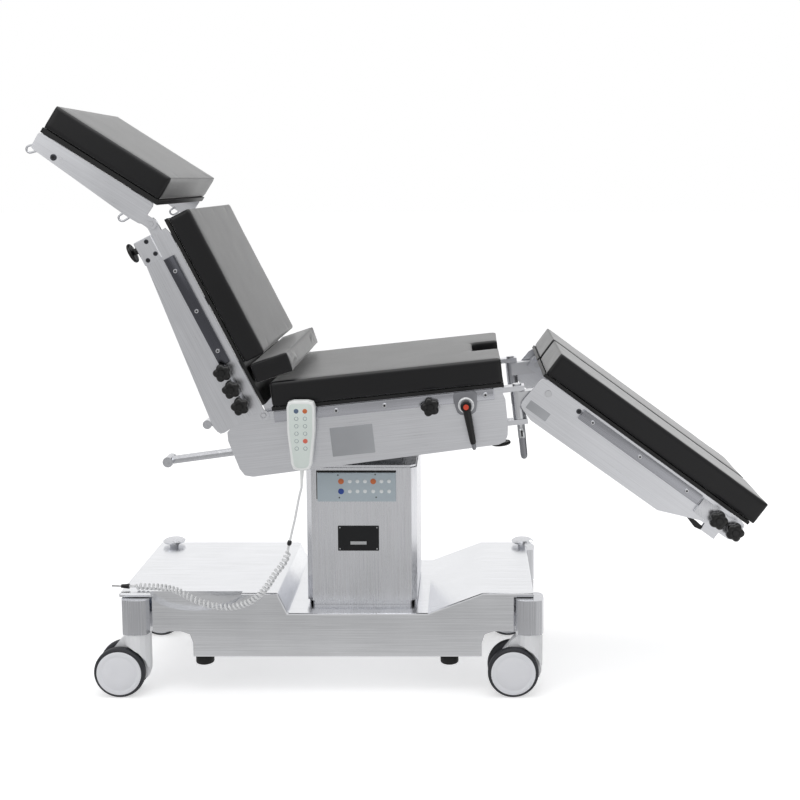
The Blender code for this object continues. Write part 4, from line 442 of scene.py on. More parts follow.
def surface_y(node: str, place: Matrix, x: float, z: float, side: int) -> float:
    """Find how far out a node's surface is beside a point.

    Args:
        node: The CAD node.
        place: The frame that x and z are in.
        x: The point's place along the frame.
        z: The point's height in the frame.
        side: 1 for the far side, -1 for the near side.

    Returns:
        The surface's y.
    """
    start = place @ Vector((x, side * 0.5, z))
    hit, spot, _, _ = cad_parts[node].ray_cast(start, Vector((0, -side, 0)))
    if not hit:
        low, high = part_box(node)
        return high.y if side > 0 else low.y
    return spot.y


def plain_piece(
    name: str, shape: Shape, place: Matrix, finish: "Finish", body: str, replaces: str = ""
) -> Piece:
    """Finish one piece from its shape to its ride.

    Args:
        name: The piece's name.
        shape: Its shape in its own frame.
        place: That frame.
        finish: Its finish.
        body: The body that carries it.
        replaces: The CAD node that it stands for, if there is one.

    Returns:
        The piece.
    """
    piece = dress(place_object(name, mesh_of(shape, name, place), finish.material()), body)
    if replaces:
        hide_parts(replaces)
    return piece


def plate(
    name: str,
    spread: Quad,
    faces: Pair,
    edge: float,
    finish: "Finish",
    body: str,
    slot: str,
    place: Matrix | None = None,
    radius: float = 0.002,
) -> Piece:
    """A flat rectangular plate that stands in the XZ plane.

    Args:
        name: Its name.
        spread: Its left, right, low and high ends.
        faces: Where its back and its front are.
        edge: How much of the front edge is rounded.
        finish: Its finish.
        body: The body that carries it.
        slot: Not used.
        place: The frame that its sizes are in.
        radius: How far its corners are cut back, or 0 for square ones.

    Returns:
        The piece.
    """
    left, right, low, high = spread
    outline = [(left, low), (right, low), (right, high), (left, high)]
    if radius > 0:
        outline = rounded_outline(outline, radius, 3)
    return plain_piece(name, slab(outline, *faces, edge), place or UPRIGHT, finish, body)


# ---------------------------------------------------------------- finishes


@dataclass(frozen=True)
class Finish:
    """What every finish has: its name, its colour and how it shines."""

    name: str
    colour: str
    roughness: float
    metallic: float = 0.0

    def material(self) -> bpy.types.Material:
        """Build the material once and hand it out after that.

        Returns:
            The material.
        """
        known = bpy.data.materials.get(self.name)
        if known is not None:
            return known
        made = bpy.data.materials.new(self.name)
        made.use_nodes = True
        tree = made.node_tree
        shader = tree.nodes["Principled BSDF"]
        shader.inputs["Base Color"].default_value = linear_colour(self.colour)
        shader.inputs["Roughness"].default_value = self.roughness
        shader.inputs["Metallic"].default_value = self.metallic
        made.diffuse_color = linear_colour(self.colour)
        coordinates = add_node(tree, "ShaderNodeTexCoord")
        self.pattern(tree, shader, coordinates.outputs["Object"])
        return made

    def pattern(self, tree: Tree, shader: Node, place: Socket) -> None:
        """Add the finish's own texture. A plain finish has none."""

    def shaded(self, tree: Tree, shader: Node, amount: Socket, depth: float) -> None:
        """Let a pattern lighten and darken the colour.

        Args:
            tree: The material's nodes.
            shader: Its Principled shader.
            amount: The pattern, from 0 to 1.
            depth: How far the darkest place is below the colour, from 0 to 1.
        """
        light = linear_colour(self.colour)
        dark = (*(c * (1 - depth) for c in light[:3]), 1.0)
        mixed = add_node(tree, "ShaderNodeMix", {"data_type": "RGBA"}, {0: amount, 6: dark, 7: light})
        tree.links.new(mixed.outputs[2], shader.inputs["Base Color"])

    def roughened(self, tree: Tree, shader: Node, amount: Socket, spread: float) -> None:
        """Let a pattern vary the roughness.

        Args:
            tree: The material's nodes.
            shader: Its Principled shader.
            amount: The pattern, from 0 to 1.
            spread: How far the roughness goes either way.
        """
        ranged = mapped(tree, amount, (0.0, 1.0), (self.roughness - spread, self.roughness + spread))
        tree.links.new(ranged, shader.inputs["Roughness"])

    def embossed(self, tree: Tree, shader: Node, height: Socket, strength: float, depth: float) -> None:
        """Let a pattern raise the surface.

        Args:
            tree: The material's nodes.
            shader: Its Principled shader.
            height: The pattern, from 0 to 1.
            strength: How strongly it shows.
            depth: Its height in metres.
        """
        given = {"Strength": strength, "Distance": depth, "Height": height}
        bump = add_node(tree, "ShaderNodeBump", None, given)
        tree.links.new(bump.outputs["Normal"], shader.inputs["Normal"])


class Grain(Enum):
    """Which way a sheet was brushed, as the length of a scratch along x, y and z in metres."""

    LENGTHWAYS = (0.16, 0.0016, 0.0016)
    UPRIGHT = (0.0016, 0.0016, 0.16)
    ROUND = (0.006, 0.006, 0.006)


@dataclass(frozen=True)
class BrushedSteel(Finish):
    """Stainless sheet, satin brushed: fine straight scratches draw the light out along one way.

    Real scratches are 0.1 to 0.3 mm apart, which is finer than a pixel, so they are drawn 1.6 mm apart.
    """

    metallic: float = 1.0
    grain: Grain = Grain.LENGTHWAYS
    turn: float = 0.0

    def pattern(self, tree: Tree, shader: Node, place: Socket) -> None:
        """Scratches along the grain, and the slow cloudiness that handling leaves."""
        turn = (0, math.radians(self.turn), 0)
        given = {"Vector": place, "Rotation": turn, "Scale": self.grain.value}
        turned = add_node(tree, "ShaderNodeMapping", {"vector_type": "TEXTURE"}, given)
        scratches = noise(tree, turned.outputs["Vector"], 1.0, 2.0)
        both = maths(tree, "MULTIPLY_ADD", noise(tree, place, 9.0, 3.0), 0.45, scratches)
        ranged = mapped(tree, both, (0.45, 1.0))
        self.shaded(tree, shader, ranged, 0.16)
        self.roughened(tree, shader, ranged, 0.05)
        self.embossed(tree, shader, scratches, 0.10, 0.0002)
        shader.inputs["Anisotropic"].default_value = 0.35


@dataclass(frozen=True)
class CoatedFabric(Finish):
    """Black artificial leather: a fine pebbled grain, dull where it is pressed and glossy at a low angle.

    Its pebbles are about 0.8 mm, drawn at 2.6 mm so that the render shows some of them.
    """

    pebble: float = 0.0026

    def pattern(self, tree: Tree, shader: Node, place: Socket) -> None:
        """Pebbles between fine creases, over slow changes of shine."""
        given = {"Vector": place, "Scale": 1 / self.pebble, "Randomness": 0.9}
        cells = add_node(tree, "ShaderNodeTexVoronoi", {"feature": "F1"}, given)
        slow = noise(tree, place, 14.0, 4.0)
        self.shaded(tree, shader, slow, 0.25)
        self.roughened(tree, shader, slow, 0.05)
        self.embossed(tree, shader, cells.outputs["Distance"], 0.16, 0.0004)
        shader.inputs["Specular IOR Level"].default_value = 0.42
        shader.inputs["Sheen Weight"].default_value = 0.80
        shader.inputs["Sheen Roughness"].default_value = 0.24


@dataclass(frozen=True)
class Moulded(Finish):
    """Moulded plastic with a spark-eroded skin: very fine even roughness, hardly any change of colour."""

    speck: float = 0.0012
    strength: float = 0.08

    def pattern(self, tree: Tree, shader: Node, place: Socket) -> None:
        """Fine specks in the skin, and faint flow marks."""
        flow = noise(tree, place, 22.0, 2.0)
        self.shaded(tree, shader, flow, 0.07)
        self.roughened(tree, shader, flow, 0.04)
        self.embossed(tree, shader, noise(tree, place, 1 / self.speck, 2.0), self.strength, 0.0002)


@dataclass(frozen=True)
class Rubber(Finish):
    """Cured rubber: matt, slightly dusty where it is worn, with a soft uneven skin."""

    def pattern(self, tree: Tree, shader: Node, place: Socket) -> None:
        """Dust in patches and a soft skin."""
        dust = noise(tree, place, 60.0, 5.0)
        self.shaded(tree, shader, dust, 0.35)
        self.roughened(tree, shader, dust, 0.08)
        self.embossed(tree, shader, dust, 0.12, 0.0004)


@dataclass(frozen=True)
class CastMetal(Finish):
    """Blasted and sealed castings and plated steel: a fine even grit of about 0.5 mm, drawn at 1.5 mm."""

    metallic: float = 1.0
    grit: float = 0.0015

    def pattern(self, tree: Tree, shader: Node, place: Socket) -> None:
        """Grit all over, with a slow change of shine."""
        slow = noise(tree, place, 18.0, 3.0)
        self.shaded(tree, shader, slow, 0.14)
        self.roughened(tree, shader, slow, 0.06)
        self.embossed(tree, shader, noise(tree, place, 1 / self.grit, 2.0), 0.10, 0.0002)


@dataclass(frozen=True)
class Enamel(Finish):
    """Sprayed enamel: smooth and wet-looking, with the long low waves of orange peel, 4 mm across."""

    wave: float = 0.004

    def pattern(self, tree: Tree, shader: Node, place: Socket) -> None:
        """Orange peel."""
        peel = noise(tree, place, 1 / self.wave, 1.0)
        self.shaded(tree, shader, peel, 0.06)
        self.embossed(tree, shader, peel, 0.08, 0.0003)
        shader.inputs["Coat Weight"].default_value = 0.4


SHEET_COLOUR = "eeeff3"
COVER_SHEET = BrushedSteel("satin stainless cover", "f4f5f8", 0.22)
COLUMN_SHEET = BrushedSteel("satin stainless column", "eeeff3", 0.28, grain=Grain.UPRIGHT)
POST_STEEL = BrushedSteel("satin stainless post", "dcdde1", 0.24, grain=Grain.UPRIGHT)
SEAT_SHEET = BrushedSteel("satin stainless seat plates", SHEET_COLOUR, 0.32, turn=SEAT_TURN)
BACK_SHEET = BrushedSteel("satin stainless back plates", SHEET_COLOUR, 0.32, turn=BACK_TURN)
HEAD_SHEET = BrushedSteel("satin stainless head plates", SHEET_COLOUR, 0.32, turn=HEAD_TURN)
LEG_SHEET = BrushedSteel("satin stainless leg plates", SHEET_COLOUR, 0.32, turn=LEG_TURN)
# The three rails are one ground stainless in three colours that paint how light falls on each: the back
# rail's dark grey is painted shade.
SEAT_BAR = BrushedSteel("ground stainless seat rail", "c9cad0", 0.24, turn=SEAT_TURN)
BACK_RAIL_PAINTED_SHADE = BrushedSteel("ground stainless back rail, painted shade", "5e5f65", 0.26, turn=BACK_TURN)
LEG_BAR = BrushedSteel("ground stainless leg rail", "b2b3b9", 0.26, turn=LEG_TURN)
TUBE_STEEL = BrushedSteel("polished stainless tube", "d6d7db", 0.16, grain=Grain.ROUND)
BLOCK_STEEL = CastMetal("blasted stainless block", "e2e3e6", 0.32)
GROUND_STEEL = CastMetal("ground column steel", "8d8f93", 0.30)
PLATED_STEEL = CastMetal("zinc plated steel", "a2a4a7", 0.42)
CHROME = CastMetal("hard chrome rod", "d6d8da", 0.14)
ALUMINIUM = CastMetal("anodised aluminium plate", "d4d6d8", 0.40)
BLANK_PLATE = CastMetal("blank anodised plate", "c2c4c8", 0.46)
BLACK_ANODISED = CastMetal("black anodised plate", "1d1e20", 0.38, 0.4)
LEATHER = CoatedFabric("black artificial leather", "0b0b0e", 0.34)
LAMINATE = Moulded("black compact laminate", "0b0b0c", 0.44)
KNOB_PLASTIC = Moulded("black glass filled nylon", "060607", 0.30, strength=0.10)
HOOD_PLASTIC = Moulded("white nylon hood", "f3f4f6", 0.34)
DISC_PLASTIC = Moulded("pale grey wheel disc", "f0f1f5", 0.38)
SHELL_PLASTIC = Moulded("white handset shell", "f3f5f4", 0.30)
FILM = Moulded("pale green membrane film", "dfe8e3", 0.34)
PANEL_FILM = Moulded("blue grey membrane film", "b9c5cc", 0.36)
CORD_JACKET = Moulded("white cord jacket", "e9eaeb", 0.36)
KEY_PALE = Moulded("pale membrane key", "eef2f3", 0.32)
KEY_OUTLINE = Moulded("grey membrane key", "93a0a2", 0.34)
KEY_ORANGE = Moulded("orange membrane key", "cf7040", 0.32)
KEY_CORAL = Moulded("coral membrane key", "e0715c", 0.32)
KEY_BLUE = Moulded("blue membrane key", "2a4a9c", 0.32)
KEY_SLATE = Moulded("slate membrane key", "5b6d86", 0.32)
RED_PLASTIC = Moulded("red push button", "d8492f", 0.30)
TYRE = Rubber("grey black tyre", "34353a", 0.60)
BLACK_RUBBER = Rubber("black rubber", "0e0e10", 0.62)
PUMP_ENAMEL = Enamel("blue sprayed enamel", "3d5f86", 0.34)
GREY_BAR = CastMetal("grey lever bar", "9c9da2", 0.44)
SHIELD_METAL = CastMetal("grey shield plate", "9b9ca1", 0.40)
WHITE_COLLAR = Moulded("white clamp collar", "f2f3f4", 0.30)
DARK_SCREW = CastMetal("blackened socket screw", "4a4b50", 0.34)
BLACK_CASE = Moulded("black battery case", "1b1c1e", 0.44)

NODE_FINISHES: list[tuple[Finish, str]] = [
    (COVER_SHEET, "base_cover"),
    (POST_STEEL, "base_chassis"),
    (COLUMN_SHEET, "column_cover"),
    (GROUND_STEEL, "inner_column trunnion_block"),
    (PUMP_ENAMEL, "power_unit"),
    (BLACK_CASE, "battery_pack"),
    (PANEL_FILM, "control_panel"),
    (SEAT_SHEET, "seat_frame"),
    (BACK_SHEET, "back_frame"),
    (HEAD_SHEET, "head_frame"),
    (LEG_SHEET, "leg_frame_right leg_frame_left"),
    (BLOCK_STEEL, "leg_hinge_right leg_hinge_left kidney_bracket"),
    (PLATED_STEEL, "swing_lock_lever_right swing_lock_lever_left head_locking_feet foot_locking_feet"),
    (TUBE_STEEL, "push_handle"),
    (CHROME, "back_cylinder"),
    (LAMINATE, "seat_board back_board head_board leg_board_right leg_board_left"),
    (SHELL_PLASTIC, "handset"),
    (KNOB_PLASTIC, "cord_plug clamp_lever leg_release_lever_right leg_release_lever_left"),
    (RED_PLASTIC, "clamp_button"),
]


def dress_cad_nodes() -> None:
    """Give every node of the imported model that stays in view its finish."""
    wanted = {name: finish for finish, names in NODE_FINISHES for name in names.split()}
    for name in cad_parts:
        if "knob" in name:
            wanted[name] = KNOB_PLASTIC
        elif name.startswith("caster_hood"):
            wanted[name] = HOOD_PLASTIC
        elif name.startswith("wheels"):
            wanted[name] = TYRE
    for name, finish in wanted.items():
        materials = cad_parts[name].data.materials
        materials.clear()
        materials.append(finish.material())


# ---------------------------------------------------------------- what repeats


class HeadShape(Enum):
    """What a repeated small piece looks like."""

    SOCKET = "socket_heads"
    KEY = "membrane_keys"


def repeat_tree(shape: HeadShape) -> Tree:
    """The geometry nodes that put one small piece on every point of a mesh.

    Args:
        shape: A screw head with a flat black hexagon on top that paints the shade of its recess, or a low
            domed key.

    Returns:
        The tree, with named inputs for its sizes and finishes.
    """
    known = bpy.data.node_groups.get(shape.value)
    if known is not None:
        return known
    tree = bpy.data.node_groups.new(shape.value, "GeometryNodeTree")
    face = tree.interface
    face.new_socket("Points", in_out="INPUT", socket_type="NodeSocketGeometry")
    for label in ("Radius", "Height"):
        face.new_socket(label, in_out="INPUT", socket_type="NodeSocketFloat")
    face.new_socket("Turn", in_out="INPUT", socket_type="NodeSocketVector")
    for label in ("Finish", "Recess painted shade"):
        face.new_socket(label, in_out="INPUT", socket_type="NodeSocketMaterial")
    face.new_socket("Pieces", in_out="OUTPUT", socket_type="NodeSocketGeometry")
    given = add_node(tree, "NodeGroupInput").outputs
    turn = add_node(tree, "FunctionNodeEulerToRotation", None, {"Euler": given["Turn"]})
    if shape is HeadShape.SOCKET:
        hexagon = maths(tree, "MULTIPLY", given["Radius"], 0.48)
        sizes = {"Vertices": 20, "Radius Bottom": given["Radius"], "Depth": given["Height"]}
        sizes["Radius Top"] = maths(tree, "MULTIPLY", given["Radius"], 0.82)
        head = add_node(tree, "GeometryNodeMeshCone", None, sizes)
        # The recess is a flat black hexagon laid on the head: painted shade, not a hole.
        sizes = {"Vertices": 6, "Radius": hexagon, "Depth": 0.0003}
        recess = add_node(tree, "GeometryNodeMeshCylinder", None, sizes)
        marked = add_node(
            tree,
            "GeometryNodeStoreNamedAttribute",
            {"data_type": "BOOLEAN", "domain": "FACE"},
            {"Geometry": recess.outputs["Mesh"], "Name": "recess", "Value": True},
        )
        lift = add_node(tree, "ShaderNodeCombineXYZ", None, {"Z": given["Height"]})
        moved = {"Geometry": marked.outputs["Geometry"], "Translation": lift.outputs["Vector"]}
        raised = add_node(tree, "GeometryNodeTransform", None, moved)
        one = add_node(tree, "GeometryNodeJoinGeometry", None, {"Geometry": head.outputs["Mesh"]})
        tree.links.new(raised.outputs["Geometry"], one.inputs["Geometry"])
    else:
        sizes = {"Segments": 24, "Rings": 8, "Radius": given["Radius"]}
        ball = add_node(tree, "GeometryNodeMeshUVSphere", None, sizes)
        flat = maths(tree, "DIVIDE", given["Height"], given["Radius"])
        scale = add_node(tree, "ShaderNodeCombineXYZ", None, {"X": 1.0, "Y": 1.0, "Z": flat})
        pressed = {"Geometry": ball.outputs["Mesh"], "Scale": scale.outputs["Vector"]}
        one = add_node(tree, "GeometryNodeTransform", None, pressed)
    spread = {"Points": given["Points"], "Instance": one.outputs["Geometry"]}
    spread["Rotation"] = turn.outputs["Rotation"]
    placed = add_node(tree, "GeometryNodeInstanceOnPoints", None, spread)
    real = add_node(tree, "GeometryNodeRealizeInstances", None, {"Geometry": placed.outputs["Instances"]})
    paint = {"Geometry": real.outputs["Geometry"], "Material": given["Finish"]}
    last = add_node(tree, "GeometryNodeSetMaterial", None, paint)
    if shape is HeadShape.SOCKET:
        mark = add_node(tree, "GeometryNodeInputNamedAttribute", {"data_type": "BOOLEAN"}, {"Name": "recess"})
        paint = {"Geometry": last.outputs["Geometry"], "Selection": mark.outputs["Attribute"]}
        last = add_node(tree, "GeometryNodeSetMaterial", None, {**paint, "Material": given["Recess painted shade"]})
    add_node(tree, "NodeGroupOutput", None, {"Pieces": last.outputs["Geometry"]})
    return tree


@dataclass
class Repeated:
    """A row or group of like small pieces, such as screws or keys, that ride on one body."""

    name: str
    body: str
    slot: str
    points: list[Triple]
    radius: float
    height: float
    finish: Finish
    place: Matrix = field(default_factory=lambda: UPRIGHT)
    shape: HeadShape = HeadShape.SOCKET
    turn: Triple = (90.0, 0.0, 0.0)

    def build(self) -> Piece:
        """Bake the pieces into one plain mesh and let it ride.

        Returns:
            The piece.
        """
        mesh = bpy.data.meshes.new(self.name)
        mesh.from_pydata([self.place @ Vector(p) for p in self.points], [], [])
        holder = place_object(self.name, mesh, None)
        tree = repeat_tree(self.shape)
        values = {
            "Radius": self.radius,
            "Height": self.height,
            "Turn": [math.radians(a) for a in self.turn],
            "Finish": self.finish.material(),
            # black finish of the hexagon that paints the shade inside the socket
            "Recess painted shade": BLACK_RUBBER.material(),
        }
        modifier = holder.modifiers.new("repeat", "NODES")
        modifier.node_group = tree
        for item in tree.interface.items_tree:
            if item.in_out == "INPUT" and item.name in values:
                modifier[item.identifier] = values[item.name]
        bpy.context.view_layer.update()
        graph = bpy.context.evaluated_depsgraph_get()
        made = bpy.data.meshes.new_from_object(holder.evaluated_get(graph))
        holder.modifiers.clear()
        holder.data = made
        if self.shape is HeadShape.KEY:
            made.shade_smooth()
        return dress(holder, self.body)


def screws(
    name: str, body: str, points: list[Triple], size: Pair, finish: Finish, place: Matrix, side: int
) -> None:
    """Drive a row of socket screws into one side.

    Args:
        name: The row's name.
        body: The body that carries it.
        points: Where the screws are.
        size: The heads' radius and height.
        finish: Their finish.
        place: The frame that the points are in.
        side: 1 for the far side, -1 for the near side.
    """
    Repeated(name, body, "chrome", points, *size, finish, place, turn=(-90 * side, 0, 0)).build()


def keys(name: str, body: str, slot: str, points: list[Triple], size: Pair, finish: Finish) -> None:
    """Lay a group of low domed keys on a near face.

    Args:
        name: The group's name.
        body: The body that carries it.
        slot: Not used.
        points: Where the keys are.
        size: Their radius and height.
        finish: Their finish.
    """
    Repeated(name, body, slot, points, *size, finish, shape=HeadShape.KEY).build()


# ---------------------------------------------------------------- cushions


@dataclass
class Cushion:
    """A foam cushion in its artificial leather cover, lying on its board."""

    node: str
    body: str
    place: Matrix
    notch: Pair | None = None
    swell: float = 0.0012
    voxel: float = 0.0052
    low: Vector | None = None
    high: Vector | None = None
    piece: Piece | None = None
    still: np.ndarray | None = None

    def block(self) -> Shape:
        """The cushion as a plain block in its section's frame, with its notch if it has one.

        Returns:
            The block, a little smaller than the cushion's place.
        """
        self.low, self.high = local_box(self.node, self.place)
        low, high = self.low + Vector((self.swell,) * 3), self.high - Vector((self.swell,) * 3)
        outline = [(low.x, low.y), (high.x, low.y), (high.x, high.y), (low.x, high.y)]
        if self.notch is not None:
            start, half = high.x - self.notch[0], self.notch[1] + self.swell
            outline[2:2] = [(high.x, -half), (start, -half), (start, half), (high.x, half)]
        shape = bmesh.new()
        face = shape.faces.new([shape.verts.new((x, y, low.z)) for x, y in outline])
        grown = bmesh.ops.extrude_face_region(shape, geom=[face])
        lifted = [v for v in grown["geom"] if isinstance(v, bmesh.types.BMVert)]
        bmesh.ops.translate(shape, vec=(0, 0, high.z - low.z), verts=lifted)
        bmesh.ops.recalc_face_normals(shape, faces=shape.faces)
        return shape

    def blank(self) -> None:
        """Mesh the block evenly, ready to be blown up."""
        shape = self.block()
        mesh = bpy.data.meshes.new(self.node)
        shape.to_mesh(mesh)
        shape.free()
        holder = place_object(f"{self.node}_cover", mesh, LEATHER.material())
        remesh = holder.modifiers.new("even", "REMESH")
        remesh.mode = "VOXEL"
        remesh.voxel_size = self.voxel
        bpy.context.view_layer.update()
        graph = bpy.context.evaluated_depsgraph_get()
        even = bpy.data.meshes.new_from_object(holder.evaluated_get(graph))
        holder.modifiers.clear()
        holder.data = even
        self.piece = holder
        self.still = np.array([v.co for v in even.vertices])

    def blow_up(self) -> None:
        """Add the cloth that presses the cover outwards."""
        cloth = self.piece.modifiers.new("cover", "CLOTH")
        cloth.settings.use_pressure = True
        cloth.settings.uniform_pressure_force = 4.0
        cloth.settings.tension_stiffness = 20
        cloth.settings.compression_stiffness = 20
        cloth.settings.bending_stiffness = 2
        cloth.settings.effector_weights.gravity = 0.0
        cloth.collision_settings.use_collision = False

    def settle(self) -> None:
        """Keep what the cloth did within the cushion's place and apply it."""
        graph = bpy.context.evaluated_depsgraph_get()
        evaluated = self.piece.evaluated_get(graph)
        moved = np.array([v.co for v in evaluated.data.vertices])
        if self.piece.modifiers:
            self.piece.modifiers.clear()
        shift = moved - self.still
        length = np.linalg.norm(shift, axis=1)
        cap = self.swell * np.tanh(length / self.swell)
        shift *= (cap / np.maximum(length, 1e-9))[:, None]
        places = np.clip(self.still + shift, np.array(self.low), np.array(self.high))
        mesh = self.piece.data
        mesh.vertices.foreach_set("co", places.astype(np.float32).ravel())
        mesh.transform(self.place)
        mesh.shade_smooth()
        mesh.update()
        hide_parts(self.node)
        dress(self.piece, self.body)


@dataclass
class Upholstery:
    """All the cushions of the table top."""

    frames: int = 20
    cushions: list[Cushion] = field(
        default_factory=lambda: [
            Cushion("seat_cushion", "seat", SEAT, notch=(0.0668, 0.070)),
            Cushion("back_cushion", "back", BACK),
            Cushion("kidney_cushion", "kidney", KIDNEY, swell=0.0012, voxel=0.004),
            Cushion("head_cushion", "head", HEAD),
            Cushion("leg_cushion_right", "leg_right", LEG),
            Cushion("leg_cushion_left", "leg_left", LEG),
        ]
    )

    def build(self) -> None:
        """Mesh the cushions, blow them all up in one run and dress them."""
        for cushion in self.cushions:
            cushion.blank()
        for cushion in self.cushions:
            cushion.blow_up()
        for step in range(1, self.frames + 1):
            bpy.context.scene.frame_set(step)
        for cushion in self.cushions:
            cushion.settle()
        bpy.context.scene.frame_set(1)


# ---------------------------------------------------------------- knobs and rails


@dataclass
class StarKnob:
    """A five-lobed clamping knob on its stem, with a pressed-in cap.

    Each ring has its height, its radius and how far its lobes stand out.
    """

    node: str
    body: str
    place: Matrix
    spot: Pair
    size: float = 1.0
    lobes: int = 5
    steps: int = 100
    stem: tuple[Triple, ...] = ((0.0, 0.0070, 0.0), (0.0082, 0.0070, 0.0), (0.0084, 0.0140, 0.0036))
    grip: tuple[Triple, ...] = ((0.0096, 0.0166, 0.0044), (0.0120, 0.0178, 0.0048), (0.0215, 0.0178, 0.0048))
    rim: tuple[Triple, ...] = ((0.0245, 0.0170, 0.0046), (0.0266, 0.0150, 0.0040), (0.0278, 0.0122, 0.0028))
    groove: tuple[Triple, ...] = ((0.0280, 0.0096, 0.0006), (0.0270, 0.0088, 0.0), (0.0270, 0.0081, 0.0))
    cap: tuple[Triple, ...] = ((0.0280, 0.0075, 0.0), (0.0284, 0.0040, 0.0))

    def build(self) -> None:
        """Loft the rings, each a radius with its share of the lobes, outwards from the frame."""
        low, high = local_box(self.node, self.place)
        side = 1 if low.y > 0 else -1
        foot = low.y if side > 0 else high.y
        turns = [2 * math.pi * i / self.steps for i in range(self.steps)]
        waves = [(0.5 + 0.5 * math.cos(self.lobes * (turn - 0.5))) ** 0.6 for turn in turns]
        shape = bmesh.new()
        loft = []
        for height, radius, lobe in self.stem + self.grip + self.rim + self.groove + self.cap:
            ring = []
            for turn, wave in zip(turns, waves):
                reach = (radius + lobe * wave) * self.size
                x, z = self.spot[0] + reach * math.cos(turn), self.spot[1] + reach * math.sin(turn)
                ring.append(shape.verts.new((x, foot + side * height, z)))
            loft.append(ring)
        join_rings(shape, loft)
        name = f"{self.node}_grip"
        plain_piece(name, shape, self.place, KNOB_PLASTIC, self.body, self.node)


@dataclass
class DiscKnob:
    """A round clamping knob that hangs from a face, with a dished underside and a grooved rim.

    Its profile has a share of the radius and a height over the bottom, and ends at the stem.
    """

    node: str
    body: str
    place: Matrix
    under: tuple[Pair, ...] = ((0, 0.0010), (0.30, 0.0010), (0.62, 0.0003), (0.84, 0.0), (0.94, 0.0009))
    rim: tuple[Pair, ...] = ((0.99, 0.0026), (1, 0.0040), (0.985, 0.0045), (1, 0.0050), (0.99, 0.0064))
    top: tuple[Pair, ...] = ((0.93, 0.0080), (0.80, 0.0089), (0.42, 0.0096), (0.34, 0.0110))

    def build(self) -> None:
        """Turn the knob in the place of its plain solid."""
        low, high = local_box(self.node, self.place)
        radius = (high.x - low.x) / 2
        profile = [(radius * share, low.z + height) for share, height in self.under + self.rim + self.top]
        profile += [(radius * 0.30, high.z), (0, high.z)]
        place = self.place @ Matrix.Translation(((low.x + high.x) / 2, (low.y + high.y) / 2, 0))
        shape = lathe(profile, 56)
        plain_piece(f"{self.node}_grip", shape, place, KNOB_PLASTIC, self.body, self.node)


@dataclass
class RailBar:
    """The ground flat bar on both sides of one section, round the plain bar of its frame."""

    name: str
    body: str
    place: Matrix
    finish: Finish
    ends: Pair
    top: float
    face: float
    height: float = 0.025
    margin: float = 0.0004
    depth: float = 0.0077
    proud: float = 0.0006

    def build(self) -> None:
        """Lay one bar on either side."""
        more = self.margin
        spread = (self.ends[0] - more, self.ends[1] + more, self.top - self.height - more, self.top + more)
        for hand, side in HANDS.items():
            faces = (side * (self.face - self.depth), side * (self.face + self.proud))
            name, body = f"{self.name}_{hand}", self.body.format(hand=hand)
            plate(name, spread, faces, 0.0012, self.finish, body, "stainless", self.place, 0.001)


@dataclass
class Controls:
    """Every knob and rail of the table top, and the fork over each swing lever."""

    fork_ends: Pair = (0.0300, 0.0065)

    def build(self) -> None:
        """Make the knobs in their sections' frames, then the rails and the forks."""
        StarKnob("seat_star_knob", "seat_knob", SEAT, (0.183, 0.066)).build()
        for number, along in enumerate((0.135, 0.0905, 0.046), 1):
            node, body = f"back_star_knob_{number}", f"back_knob_{number}"
            StarKnob(node, body, BACK, (-along, -0.033), size=0.96).build()
        for hand in HANDS:
            for number, along in enumerate((0.504, 0.553), 1):
                node, body = f"leg_star_knob_{hand}_{number}", f"leg_knob_{hand}_{number}"
                StarKnob(node, body, LEG, (along, -0.003)).build()
            self.fork(hand)
        DiscKnob("seat_disc_knob", "seat_disc", SEAT).build()
        DiscKnob("head_lock_knob", "head_knob", BACK).build()
        RailBar("seat_rail", "seat", SEAT, SEAT_BAR, (-0.188, 0.335), 0.090, 0.253).build()
        RailBar("back_rail", "back", BACK, BACK_RAIL_PAINTED_SHADE, (-0.430, -0.150), -0.010, 0.258).build()
        RailBar("leg_rail", "leg_{hand}", LEG, LEG_BAR, (0.092, 0.445), 0.020, 0.258).build()

    def fork(self, hand: str) -> None:
        """The polished fork at the top of a swing lever, a black strip that paints the shade of its slot, and
        the round grey bar below it.
        """
        body = f"swing_lever_{hand}"
        low, high = local_box(f"swing_lock_lever_{hand}", SEAT)
        r, top, foot = (high.y - low.y) / 2, high.z, low.z
        x, y = (low.x + high.x) / 2, (low.y + high.y) / 2
        start, stop = (top - end for end in self.fork_ends)
        fork = [(0, start), (r + 0.0010, start), (r + 0.0018, top - 0.0290)]
        fork += [(r + 0.0018, top - 0.0075), (r + 0.0010, stop), (0, stop)]
        place = SEAT @ Matrix.Translation((x, y, 0))
        plain_piece(f"swing_lever_fork_{hand}", lathe(fork, 32), place, CHROME, body)
        bar = [(0, foot - 0.0050), (r * 0.45, foot - 0.0042), (r * 0.80, foot - 0.0020)]
        bar += [(r + 0.0006, foot + 0.0030), (r + 0.0010, foot + 0.0080), (r + 0.0010, top - 0.0290)]
        bar += [(0, top - 0.0290)]
        plain_piece(f"swing_lever_bar_{hand}", lathe(bar, 32), place, GREY_BAR, body)
        # A thin black rubber strip on the fork's side stands in for the shade inside its slot: painted shade.
        side = HANDS[hand]
        face = y + side * (r + 0.0016)
        spread = (x - 0.0022, x + 0.0022, top - 0.0265, top - 0.0110)
        faces = (face - side * 0.0020, face + side * 0.0005)
        plate(f"swing_lever_slot_shade_{hand}", spread, faces, 0.0002, BLACK_RUBBER, body, "black_rubber", SEAT)


# ---------------------------------------------------------------- base and casters


